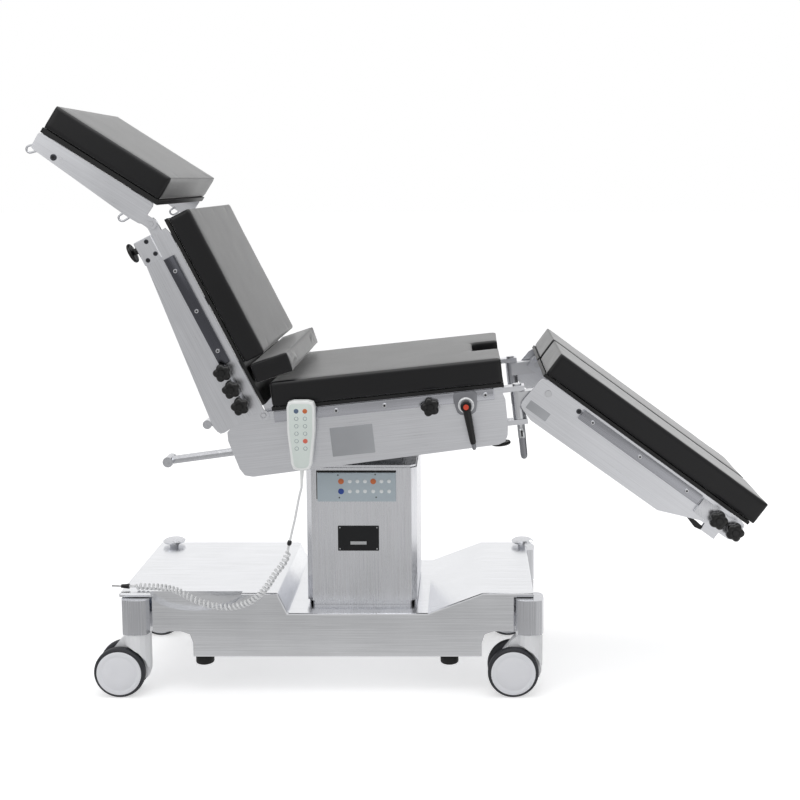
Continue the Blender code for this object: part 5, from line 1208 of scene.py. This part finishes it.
@dataclass
class Caster:
    """The twin wheels of one caster and the discs that close them."""

    end: str
    hand: str
    radius: float = 0.0625
    disc_radius: float = 0.0545
    half: float = 0.011
    middle: float = 0.203
    face: float = 0.037
    proud: float = 0.0022

    def build(self) -> None:
        """Mould the two tyres on their axle and turn one disc for each outer face."""
        side, half, r = HANDS[self.hand], self.half, self.radius
        tread = [(0, -half), (r * 0.86, -half), (r - 0.0050, -half + 0.0004), (r - 0.0022, -half + 0.0018)]
        tread += [(r - 0.0006, -half + 0.0042), (r, -half + 0.0070)]
        tread += [(reach, -height) for reach, height in reversed(tread)]
        shapes = []
        for way in (-1, 1):
            wheel = lathe(tread, 96)
            bmesh.ops.translate(wheel, vec=(0, 0, way * 0.026), verts=wheel.verts)
            shapes.append(wheel)
        shapes.append(lathe([(0, -0.0148), (0.006, -0.0148), (0.006, 0.0148), (0, 0.0148)], 24))
        axle = Matrix.Translation((ENDS[self.end], side * self.middle, r)) @ FACING
        body = f"wheels_{self.end}_{self.hand}"
        plain_piece(f"tyres_{self.end}_{self.hand}", gathered(shapes), axle, TYRE, body, body)
        d, out = self.disc_radius, self.proud
        profile = [(0, -0.002), (d, -0.002), (d, out * 0.35), (d - 0.0012, out * 0.75), (d - 0.004, out)]
        profile += [(d - 0.010, out), (d - 0.011, out * 0.75), (d - 0.013, out * 0.75)]
        profile += [(d - 0.014, out * 1.02), (d * 0.4, out * 1.3), (0, out * 1.4)]
        for name, way in (("outer", side), ("inner", -side)):
            place = Matrix.Translation((ENDS[self.end], side * self.middle + way * self.face, r))
            place @= Matrix.Rotation(math.radians(-90 * way), 4, "X")
            name = f"wheel_disc_{name}_{self.end}_{self.hand}"
            plain_piece(name, lathe(profile, 56), place, DISC_PLASTIC, body)


@dataclass
class Base:
    """What the base carries besides its covers: rubber feet and wheels."""

    foot_radius: float = 0.0225
    foot_y: float = 0.178
    feet: tuple[tuple[str, float], ...] = (("head_feet", -0.5106), ("foot_feet", 0.0979))

    def build(self) -> None:
        """Mould the feet and close the wheels."""
        r = self.foot_radius
        profile = [(0, 0.0672), (r - 0.0035, 0.0672), (r - 0.001, 0.0685), (r, 0.0705)]
        profile += [(r, 0.0880), (r - 0.0015, 0.0900), (r - 0.004, 0.0905), (0, 0.0905)]
        for body, x in self.feet:
            for hand, side in HANDS.items():
                place = Matrix.Translation((x, side * self.foot_y, 0))
                name = f"rubber_foot_{body}_{hand}"
                plain_piece(name, lathe(profile), place, BLACK_RUBBER, body)
        for end in ENDS:
            for hand in HANDS:
                Caster(end, hand).build()


# ---------------------------------------------------------------- column


@dataclass
class Column:
    """The column's membrane panel, the painted shade of its slot and a blank plate."""

    face: float = -0.15
    panel_face: float = -0.1533
    columns: tuple[float, ...] = (-0.1696, -0.1479, -0.1291, -0.1103, -0.0901, -0.0698, -0.0510)
    rows: Pair = (0.5211, 0.4959)
    lamps: tuple[Pair, ...] = ((-0.177, 0.537), (-0.085, 0.5385), (-0.174, 0.480), (-0.083, 0.481))
    plate: Quad = (-0.1791, -0.0771, 0.344, 0.408)
    margin: float = 0.005

    def build(self) -> None:
        """Put the keys on the panel and the plate below it."""
        strong = {(0, 0): "orange", (4, 0): "orange", (0, 1): "blue"}
        groups: dict[str, list[Triple]] = {"orange": [], "blue": [], "pale": []}
        for i, x in enumerate(self.columns):
            for j, z in enumerate(self.rows):
                groups[strong.get((i, j), "pale")].append((x, self.panel_face, z))
        looks = {"orange": (0.0072, KEY_ORANGE), "blue": (0.0074, KEY_BLUE), "pale": (0.0048, KEY_PALE)}
        for name, points in groups.items():
            radius, finish = looks[name]
            keys(f"panel_keys_{name}", "base", "panel_film", points, (radius, 0.0009), finish)
        lamps = [(x, self.panel_face, z) for x, z in self.lamps]
        keys("panel_lamps", "base", "black_plastic", lamps, (0.0019, 0.0006), BLACK_CASE)
        self.painted_slot_shade()
        self.blank_plate()

    def painted_slot_shade(self) -> None:
        """The slot above the panel and at its head side, where the film is let in, drawn as thin black
        strips: painted shade.
        """
        # black rubber strips on the face paint the shade inside the slot
        faces = (self.face + 0.0005, self.face - 0.0008)
        top, side = (-0.2290, -0.0335, 0.5435, 0.5480), (-0.2308, -0.2288, 0.4755, 0.5480)
        for name, spread in (("panel_slot_top_shade", top), ("panel_slot_side_shade", side)):
            plate(name, spread, faces, 0.0003, BLACK_RUBBER, "base", "black_rubber", radius=0)

    def blank_plate(self) -> None:
        """A black anodised plate with nothing on it but a bright empty field, held by four rivets."""
        left, right, low, high = self.plate
        faces = (self.face + 0.0005, self.face - 0.0012)
        plate("blank_plate", self.plate, faces, 0.0004, BLACK_ANODISED, "base", "dark_steel")
        middle, faces = (left + right) / 2, (self.face - 0.0008, self.face - 0.0015)
        spread = (middle - 0.020, middle + 0.020, low + 0.016, low + 0.024)
        plate("blank_plate_field", spread, faces, 0.0002, ALUMINIUM, "base", "aluminium", radius=0)
        across, up = (left + self.margin, right - self.margin), (low + self.margin, high - self.margin)
        corners = [(x, self.face - 0.0010, z) for x in across for z in up]
        keys("blank_plate_rivets", "base", "aluminium", corners, (0.0017, 0.0008), ALUMINIUM)


# ---------------------------------------------------------------- table top


@dataclass
class SeatDetails:
    """Screws, the blank plate and the rail clamp on the seat section."""

    sheet_y: float = 0.245
    rail_y: float = 0.2536
    screw_z: float = 0.0775
    screws_right: tuple[float, ...] = (-0.150, -0.040, 0.075, 0.315)
    screws_left: tuple[float, ...] = (-0.150, -0.040, 0.075, 0.183, 0.305)
    clamp: Pair = (0.267, 0.059)
    lever_y: float = -0.2752
    plate: Quad = (-0.062, 0.040, -0.034, 0.036)

    def build(self) -> None:
        """Make each of them in the seat's own frame."""
        faces = (-self.sheet_y + 0.0004, -self.sheet_y - 0.0008)
        plate("seat_blank_plate", self.plate, faces, 0.0004, BLANK_PLATE, "seat", "aluminium", SEAT)
        for hand, places in (("right", self.screws_right), ("left", self.screws_left)):
            side = HANDS[hand]
            row = [(x, side * self.rail_y, self.screw_z) for x in places]
            screws(f"seat_rail_screws_{hand}", "seat", row, (0.0062, 0.0022), BLOCK_STEEL, SEAT, side)
        self.shield()
        self.collar()
        self.washer()
        self.lever()

    def washer(self) -> None:
        """The bright washer under the star knob."""
        profile = [(0, -0.0006), (0.0130, -0.0006), (0.0130, 0.0012), (0.0122, 0.0020), (0, 0.0020)]
        place = SEAT @ Matrix.Translation((0.183, -self.rail_y, 0.066)) @ FACING
        plain_piece("seat_knob_washer", lathe(profile, 40), place, CHROME, "seat")

    def shield(self) -> None:
        """The grey shield plate behind the clamp's hub."""
        x, top = self.clamp[0], 0.0915
        half = [(0.0205, top - 0.0560), (0.0275, top - 0.0260), (0.0285, top)]
        corners = [(x - half[0][0], half[0][1]), *((x + reach, z) for reach, z in half)]
        corners += [(x - reach, z) for reach, z in half[:0:-1]]
        shape = slab(rounded_outline(corners, 0.012), -0.2532, -0.2592, 0.0012)
        plain_piece("clamp_shield", shape, SEAT, SHIELD_METAL, "seat")

    def collar(self) -> None:
        """The bright ring round the clamp's hub."""
        profile = [(0.0118, 0.0), (0.0185, 0.0), (0.0192, 0.0012), (0.0188, 0.0038), (0.0172, 0.0056)]
        profile += [(0.0140, 0.0060), (0.0118, 0.0056), (0.0118, 0.0)]
        place = SEAT @ Matrix.Translation((self.clamp[0], -0.2590, self.clamp[1])) @ FACING
        shape = lathe(profile, 48)
        bmesh.ops.remove_doubles(shape, verts=shape.verts, dist=1e-6)
        plain_piece("clamp_collar", shape, place, WHITE_COLLAR, "seat")

    def lever(self) -> None:
        """The thick black clamping lever with its round hub and its plain steel end."""
        hub = SEAT @ Vector((self.clamp[0], self.lever_y, self.clamp[1]))
        end = SEAT @ Vector((self.clamp[0] + 0.008, self.lever_y, self.clamp[1] - 0.092))
        length, way = (end - hub).length, (end - hub).normalized()
        shares = [(0.10, 0.0094), (0.20, 0.0094), (0.60, 0.0082), (0.90, 0.0074)]
        shares += [(0.96, 0.0068), (0.99, 0.0056), (1.0, 0.0040)]
        points = np.array([hub + way * (length * s) for s, _ in shares])
        arm = tube(points, [r for _, r in shares], 28)
        profile = [(0, -0.0097), (0.0112, -0.0097), (0.0128, -0.0084), (0.0132, -0.0050), (0.0132, 0.0060)]
        profile += [(0.0126, 0.0084), (0.0104, 0.0096), (0.0086, 0.0098), (0.0080, 0.0088), (0, 0.0088)]
        boss = lathe(profile, 40)
        bmesh.ops.transform(boss, matrix=Matrix.Translation(hub) @ FACING, verts=boss.verts)
        shape, body = gathered([arm, boss]), "clamp_lever"
        plain_piece("clamp_lever_grip", shape, UPRIGHT, KNOB_PLASTIC, body, body)
        tip = np.array([end + way * s for s in (-0.006, 0.006, 0.010, 0.0125, 0.0135)])
        shape = tube(tip, [0.0052, 0.0052, 0.0048, 0.0034, 0.0014], 24)
        plain_piece("clamp_lever_tip", shape, UPRIGHT, SHIELD_METAL, body)


@dataclass
class WireLoop:
    """A bent wire eye of the head section that holds a strap."""

    name: str
    start: Triple
    way: Triple
    spread: Triple
    reach: float = 0.017
    half_width: float = 0.008
    radius: float = 0.0027

    def build(self) -> None:
        """Bend the wire into a narrow U with both ends in the plate."""
        start, way, spread = Vector(self.start), Vector(self.way), Vector(self.spread)
        way.normalize()
        spread.normalize()
        foot, half = (-0.004, 0.0, 0.005), self.half_width
        points = [start + way * s - spread * half for s in foot]
        for k in range(9):
            angle = math.pi * k / 8
            out = self.reach - half + half * math.sin(angle)
            points.append(start + way * out - spread * (half * math.cos(angle)))
        points += [start + way * s + spread * half for s in reversed(foot)]
        line = smooth_route([tuple(p) for p in points], 0.0022)
        shape = tube(line, [self.radius] * len(line), 12)
        plain_piece(self.name, shape, HEAD, TUBE_STEEL, "head")


@dataclass
class BackDetails:
    """Socket screws on the head-section blocks and the rails of the back."""

    rail_y: float = 0.2586
    block_screws: tuple[Pair, ...] = ((-0.446, -0.069), (-0.486, -0.052), (-0.452, -0.046))
    rail_screws: tuple[float, ...] = (-0.185, -0.290, -0.395)

    def build(self) -> None:
        """Make them on both sides."""
        for hand, side in HANDS.items():
            blocks = [(x, surface_y("back_frame", BACK, x, z, side), z) for x, z in self.block_screws]
            screws(f"head_block_screws_{hand}", "back", blocks, (0.0056, 0.0022), DARK_SCREW, BACK, side)
            rail = [(x, side * self.rail_y, -0.0225) for x in self.rail_screws]
            screws(f"back_rail_screws_{hand}", "back", rail, (0.0055, 0.0020), BLOCK_STEEL, BACK, side)


@dataclass
class HeadDetails:
    """Bolts and strap eyes of the head section."""

    sheet_y: float = 0.2503
    eye_y: float = 0.2465

    def build(self) -> None:
        """Make them on both sides."""
        for hand, side in HANDS.items():
            bolt, y = [(-0.268, side * self.sheet_y, 0.010)], side * self.eye_y
            screws(f"head_bolt_{hand}", "head", bolt, (0.0078, 0.0024), DARK_SCREW, HEAD, side)
            WireLoop(f"strap_eye_end_{hand}", (-0.318, y, 0.003), (-1, 0, -1.1), (0.55, 0, -0.5)).build()
            WireLoop(f"strap_eye_hinge_{hand}", (-0.060, y, -0.017), (-0.5, 0, -1), (1, 0, -0.4)).build()


@dataclass
class LegDetails:
    """Screws and plates of one leg section."""

    hand: str
    sheet_y: float = 0.250
    rail_y: float = 0.2586
    knob_plate: Quad = (0.4495, 0.5705, -0.0235, 0.0175)
    blank_plate: Quad = (-0.024, 0.034, -0.058, -0.036)

    def build(self) -> None:
        """Make them on the leg's outer plate."""
        side, body = HANDS[self.hand], f"leg_{self.hand}"
        y = side * self.sheet_y
        screws(f"leg_screws_{self.hand}", body, [(0.084, y, 0.009)], (0.0066, 0.0022), DARK_SCREW, LEG, side)
        name, faces = f"leg_knob_plate_{self.hand}", (y, side * 0.2583)
        plate(name, self.knob_plate, faces, 0.0008, COLUMN_SHEET, body, "stainless", LEG)
        rail = [(x, side * self.rail_y, 0.0075) for x in (0.125, 0.265, 0.405)]
        screws(f"leg_rail_screws_{self.hand}", body, rail, (0.0055, 0.0020), BLOCK_STEEL, LEG, side)
        name, faces = f"leg_blank_plate_{self.hand}", (y - side * 0.0004, y + side * 0.0007)
        plate(name, self.blank_plate, faces, 0.0003, BLANK_PLATE, body, "aluminium", LEG)


# ---------------------------------------------------------------- handset and cord


@dataclass
class Handset:
    """The hand control's membrane face and its keys."""

    middle: float = -0.2481
    top: float = 0.747
    face: float = -0.2865
    film: Triple = (0.0275, 0.0165, 0.153)
    first_row: float = 0.024
    row_step: float = 0.0178
    column_half: float = 0.0102
    key_radius: float = 0.0058

    def build(self) -> None:
        """Lay the film on the shell and the keys on the film."""
        wide, narrow, length = self.film
        top = self.top - 0.007
        half = [(wide, top), (wide * 0.97, top - length * 0.45), (narrow, top - length)]
        corners = [(self.middle - reach, z) for reach, z in half]
        corners += [(self.middle + reach, z) for reach, z in reversed(half)]
        shape = slab(rounded_outline(corners, 0.012), self.face + 0.0004, self.face - 0.0006, 0.0003)
        plain_piece("handset_film", shape, UPRIGHT, FILM, "seat")
        strong = {(0, 0): "slate", (0, 1): "orange", (4, 1): "coral"}
        groups: dict[str, list[Triple]] = {"slate": [], "orange": [], "coral": [], "plain": []}
        for row in range(6):
            for column in range(2):
                x = self.middle + (2 * column - 1) * self.column_half
                z = self.top - self.first_row - row * self.row_step
                groups[strong.get((row, column), "plain")].append((x, self.face - 0.0005, z))
        finishes = {"slate": KEY_SLATE, "orange": KEY_ORANGE, "coral": KEY_CORAL, "plain": KEY_OUTLINE}
        for name, points in groups.items():
            size = (self.key_radius if name != "plain" else self.key_radius * 0.86, 0.0009)
            keys(f"handset_keys_{name}", "seat", "pale_plastic", points, size, finishes[name])
        inner = [(x, self.face - 0.0009, z) for x, _, z in groups["plain"]]
        keys("handset_key_pads", "seat", "pale_plastic", inner, (self.key_radius * 0.66, 0.0008), FILM)


LEAD_ROUTE = [
    ((-0.2330, -0.2735, 0.5456), (-0.2334, -0.2736, 0.5370), (-0.2390, -0.2752, 0.5150)),
    ((-0.2440, -0.2765, 0.4900), (-0.2500, -0.2778, 0.4600), (-0.2560, -0.2790, 0.4350)),
    ((-0.2600, -0.2800, 0.4180), (-0.2618, -0.2802, 0.4105)),
]
CURLY_ROUTE = [
    ((-0.2648, -0.2806, 0.3980), (-0.2740, -0.2812, 0.3620), (-0.2990, -0.2770, 0.3270)),
    ((-0.3230, -0.2710, 0.2900), (-0.3530, -0.2620, 0.2590), (-0.3900, -0.2530, 0.2400)),
    ((-0.4300, -0.2450, 0.2330), (-0.4700, -0.2400, 0.2380), (-0.5050, -0.2340, 0.2490)),
    ((-0.5350, -0.2230, 0.2600), (-0.5650, -0.2090, 0.2660), (-0.6000, -0.1960, 0.2662)),
    ((-0.6400, -0.1890, 0.2655), (-0.6735, -0.1875, 0.2655)),
]


def route(rows: list[tuple[Triple, ...]], shift: float) -> list[Triple]:
    """A cord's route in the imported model's frame.

    Args:
        rows: Its points, in rows.
        shift: How far they move along x.

    Returns:
        The points in one list.
    """
    return [(x + shift, y, z) for row in rows for x, y, z in row]


@dataclass
class HandsetCord:
    """Straight lead, dark collar and curly cord, from the handset to the head end of the base."""

    shift: float = -0.0171
    radius: float = 0.0029
    curl_radius: float = 0.0058
    curls: int = 44
    per_curl: int = 20

    def curly_line(self) -> np.ndarray:
        """The helix of the curly stretch, with one straight diameter at either end.

        Returns:
            Its points as rows.
        """
        fine = smooth_route(route(CURLY_ROUTE, self.shift), self.curl_radius / 4)
        length = float(np.linalg.norm(np.diff(fine, axis=0), axis=1).sum())
        run = np.linspace(0, length, len(fine))
        tangents, sides, ups = travelling_sides(fine)
        straight = 2 * self.radius
        lead_in = straight + self.curl_radius
        count = self.curls * self.per_curl
        wound = np.linspace(lead_in, length - lead_in, count + 1)
        out = [fine[0], fine[0] + tangents[0] * straight]
        for i, place in enumerate(wound):
            centre, way, up = (
                np.array([np.interp(place, run, rows[:, k]) for k in range(3)]) for rows in (fine, sides, ups)
            )
            angle = 2 * math.pi * i / self.per_curl
            grow = min(1.0, i / self.per_curl, (count - i) / self.per_curl)
            out.append(centre + grow * self.curl_radius * (way * math.cos(angle) + up * math.sin(angle)))
        out += [fine[-1] - tangents[-1] * straight, fine[-1]]
        return np.array(out)

    def cord_piece(self, name: str, line: np.ndarray, sides: int) -> Piece:
        """One stretch of cord as a closed tube.

        Args:
            name: The piece's name.
            line: Its centreline.
            sides: How many faces go round.

        Returns:
            The piece, not yet riding on anything.
        """
        mesh = mesh_of(tube(line, [self.radius] * len(line), sides), name, UPRIGHT)
        mesh.shade_smooth()
        return place_object(name, mesh, CORD_JACKET.material())

    def build(self) -> None:
        """Make the two stretches of lead, the collar, the curly cord and the plug ring."""
        line = smooth_route(route(LEAD_ROUTE, self.shift), 0.004)
        half = len(line) // 2
        upper, lower = line[: half + 1], line[half:]
        stretches = [("upper", upper, "seat", "tilt_block"), ("lower", lower, "tilt_block", "lift")]
        for name, part, first, second in stretches:
            piece = self.cord_piece(f"handset_lead_{name}", part, 14)
            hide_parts("handset_lead")
            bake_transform(piece)
        self.collar(line[-1])
        helix = self.curly_line()
        curly = self.cord_piece("curly_cord_wire", helix, 10)
        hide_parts("curly_cord")
        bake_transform(curly)
        along = ["cord_plug", self.plug_pin(helix)]

    def collar(self, end: np.ndarray) -> None:
        """The dark moulding between the lead and the curls, which hangs from the lead."""
        start, finish = Vector(end), Vector(route(CURLY_ROUTE, self.shift)[0])
        way, length = (finish - start).normalized(), (finish - start).length
        shares = [(0.02, 0.0030), (0.08, 0.0042), (0.2, 0.0052), (0.5, 0.0055)]
        shares += [(0.8, 0.0052), (0.92, 0.0042), (0.98, 0.0030)]
        points = np.array([start + way * (length * s) for s, _ in shares])
        shape = tube(points, [r for _, r in shares], 18)
        name = "cord_collar_moulding"
        plain_piece(name, shape, UPRIGHT, BLACK_CASE, "lift", "cord_collar")

    def plug_pin(self, helix: np.ndarray) -> Piece:
        """The bright ring where the plug's thin pin leaves its body.

        Args:
            helix: The curly cord's centreline.

        Returns:
            The ring.
        """
        start, before = Vector(helix[-1]), Vector(helix[-2])
        way = (start - before).normalized()
        points = np.array([start + way * s for s in (0.0185, 0.0192, 0.0215, 0.0222)])
        shape = tube(points, [0.0026, 0.0032, 0.0032, 0.0024], 16)
        return plain_piece("plug_ring", shape, UPRIGHT, TUBE_STEEL, "base")


# ---------------------------------------------------------------- studio


@dataclass
class Studio:
    """Floor, light and the camera at the photograph's viewing angle."""

    eye: Triple = (0.139, -3.073, 1.265)
    pitch: float = 7.0
    lens: float = 54.5
    shift: Pair = (-0.0825, -0.092)
    floor_half: float = 40.0

    def build(self) -> None:
        """Set up what the table stands in."""
        bpy.context.scene.view_settings.view_transform = "Standard"
        self.camera()
        self.world()
        self.floor()
        self.lamp("overhead softbox", (0.1, -0.4, 3.3), 0.6, (3.2, 2.4), 34)
        self.lamp("front left softbox", (-2.4, -3.0, 2.2), 0.7, (1.8, 1.8), 9)
        self.lamp("rear right softbox", (2.4, 2.2, 2.4), 0.7, (1.6, 1.6), 10)

    def camera(self) -> None:
        """The photograph's camera."""
        data = bpy.data.cameras.new("camera")
        data.lens = self.lens
        data.shift_x, data.shift_y = self.shift
        data.clip_end = 200
        camera = bpy.data.objects.new("camera", data)
        camera.location = self.eye
        camera.rotation_euler = (math.radians(90 - self.pitch), 0, 0)
        bpy.context.scene.collection.objects.link(camera)
        bpy.context.scene.camera = camera

    def world(self) -> None:
        """White behind the table, a dim room before it and dark screens beside it for what is reflected."""
        world = bpy.data.worlds.new("studio")
        world.use_nodes = True
        bpy.context.scene.world = world
        tree = world.node_tree
        back = tree.nodes["Background"]
        back.inputs["Color"].default_value = (1, 1, 1, 1)
        ray = add_node(tree, "ShaderNodeLightPath").outputs
        way = add_node(tree, "ShaderNodeTexCoord").outputs["Generated"]
        parts = add_node(tree, "ShaderNodeSeparateXYZ", None, {"Vector": way}).outputs
        depth = mapped(tree, parts["Y"], (-0.8, 0.30), (0.44, 1.0))
        rise = mapped(tree, parts["Z"], (0.15, 0.8), (0.0, 0.5))
        lit = add_node(tree, "ShaderNodeMath", {"operation": "ADD", "use_clamp": True}, {0: depth, 1: rise})
        flags = mapped(tree, maths(tree, "ABSOLUTE", parts["X"]), (0.72, 0.96), (1.0, 0.42))
        room = maths(tree, "MULTIPLY", lit.outputs[0], flags)
        seen = maths(tree, "MAXIMUM", ray["Is Camera Ray"], ray["Is Transmission Ray"])
        choice = {"data_type": "FLOAT"}
        mirrored = add_node(tree, "ShaderNodeMix", choice, {0: ray["Is Glossy Ray"], 2: 0.62, 3: room})
        strength = add_node(tree, "ShaderNodeMix", choice, {0: seen, 2: mirrored.outputs[0], 3: 1.0})
        tree.links.new(strength.outputs[0], back.inputs["Strength"])

    def floor(self) -> None:
        """A white floor that keeps the table's soft shadow."""
        shape = bmesh.new()
        bmesh.ops.create_grid(shape, x_segments=8, y_segments=8, size=self.floor_half)
        mesh = mesh_of(shape, "floor", UPRIGHT, smooth_below=0)
        material = bpy.data.materials.new("white studio floor")
        material.use_nodes = True
        tree = material.node_tree
        shader = tree.nodes["Principled BSDF"]
        shader.inputs["Base Color"].default_value = linear_colour("f4f4f5")
        shader.inputs["Roughness"].default_value = 0.9
        shader.inputs["Specular IOR Level"].default_value = 0.1
        ray = add_node(tree, "ShaderNodeLightPath").outputs
        seen = maths(tree, "MAXIMUM", ray["Is Camera Ray"], ray["Is Glossy Ray"])
        lift = maths(tree, "MULTIPLY", maths(tree, "MAXIMUM", seen, ray["Is Transmission Ray"]), 0.50)
        shader.inputs["Emission Color"].default_value = (1, 1, 1, 1)
        tree.links.new(lift, shader.inputs["Emission Strength"])
        spot = add_node(tree, "ShaderNodeTexCoord").outputs["Object"]
        parts = add_node(tree, "ShaderNodeSeparateXYZ", None, {"Vector": spot}).outputs
        glow = mapped(tree, parts["Y"], (-0.7, 0.5), (0.46, 0.95))
        glow = maths(tree, "ADD", glow, mapped(tree, parts["Y"], (-0.9, -1.6), (0.0, 0.13)))
        glow = maths(tree, "SUBTRACT", glow, mapped(tree, parts["Y"], (-2.0, -3.6), (0.0, 0.10)))
        glow = maths(tree, "ADD", glow, mapped(tree, parts["X"], (0.2, 1.3), (0.0, 0.36)))
        mirrored = add_node(tree, "ShaderNodeEmission", None, {"Strength": glow})
        ways = {0: ray["Is Glossy Ray"], 1: shader.outputs["BSDF"], 2: mirrored.outputs["Emission"]}
        both = add_node(tree, "ShaderNodeMixShader", None, ways)
        tree.links.new(both.outputs["Shader"], tree.nodes["Material Output"].inputs["Surface"])
        place_object("floor", mesh, material)

    def lamp(self, name: str, place: Triple, aim: float, size: Pair, power: float) -> None:
        """One soft rectangular lamp.

        Args:
            name: Its name.
            place: Where it hangs.
            aim: The height over the middle of the floor that it points at.
            size: Its width and height in metres.
            power: Its power in watts.
        """
        data = bpy.data.lights.new(name, "AREA")
        data.shape = "RECTANGLE"
        data.size, data.size_y = size
        data.energy = power
        lamp = bpy.data.objects.new(name, data)
        lamp.location = place
        lamp.rotation_euler = (Vector((0.0, 0.0, aim)) - Vector(place)).to_track_quat("-Z", "Y").to_euler()
        bpy.context.scene.collection.objects.link(lamp)


def main() -> None:
    """Build the table's looks in order."""
    logging.basicConfig(level=logging.INFO, format="%(message)s")
    Studio().build()
    dress_cad_nodes()
    makers = [HandsetCord(), Base(), Column(), Controls(), SeatDetails(), BackDetails(), HeadDetails()]
    makers += [*(LegDetails(hand) for hand in HANDS), Handset(), Upholstery()]
    for maker in makers:
        maker.build()


if __name__ == "__main__":
    main()
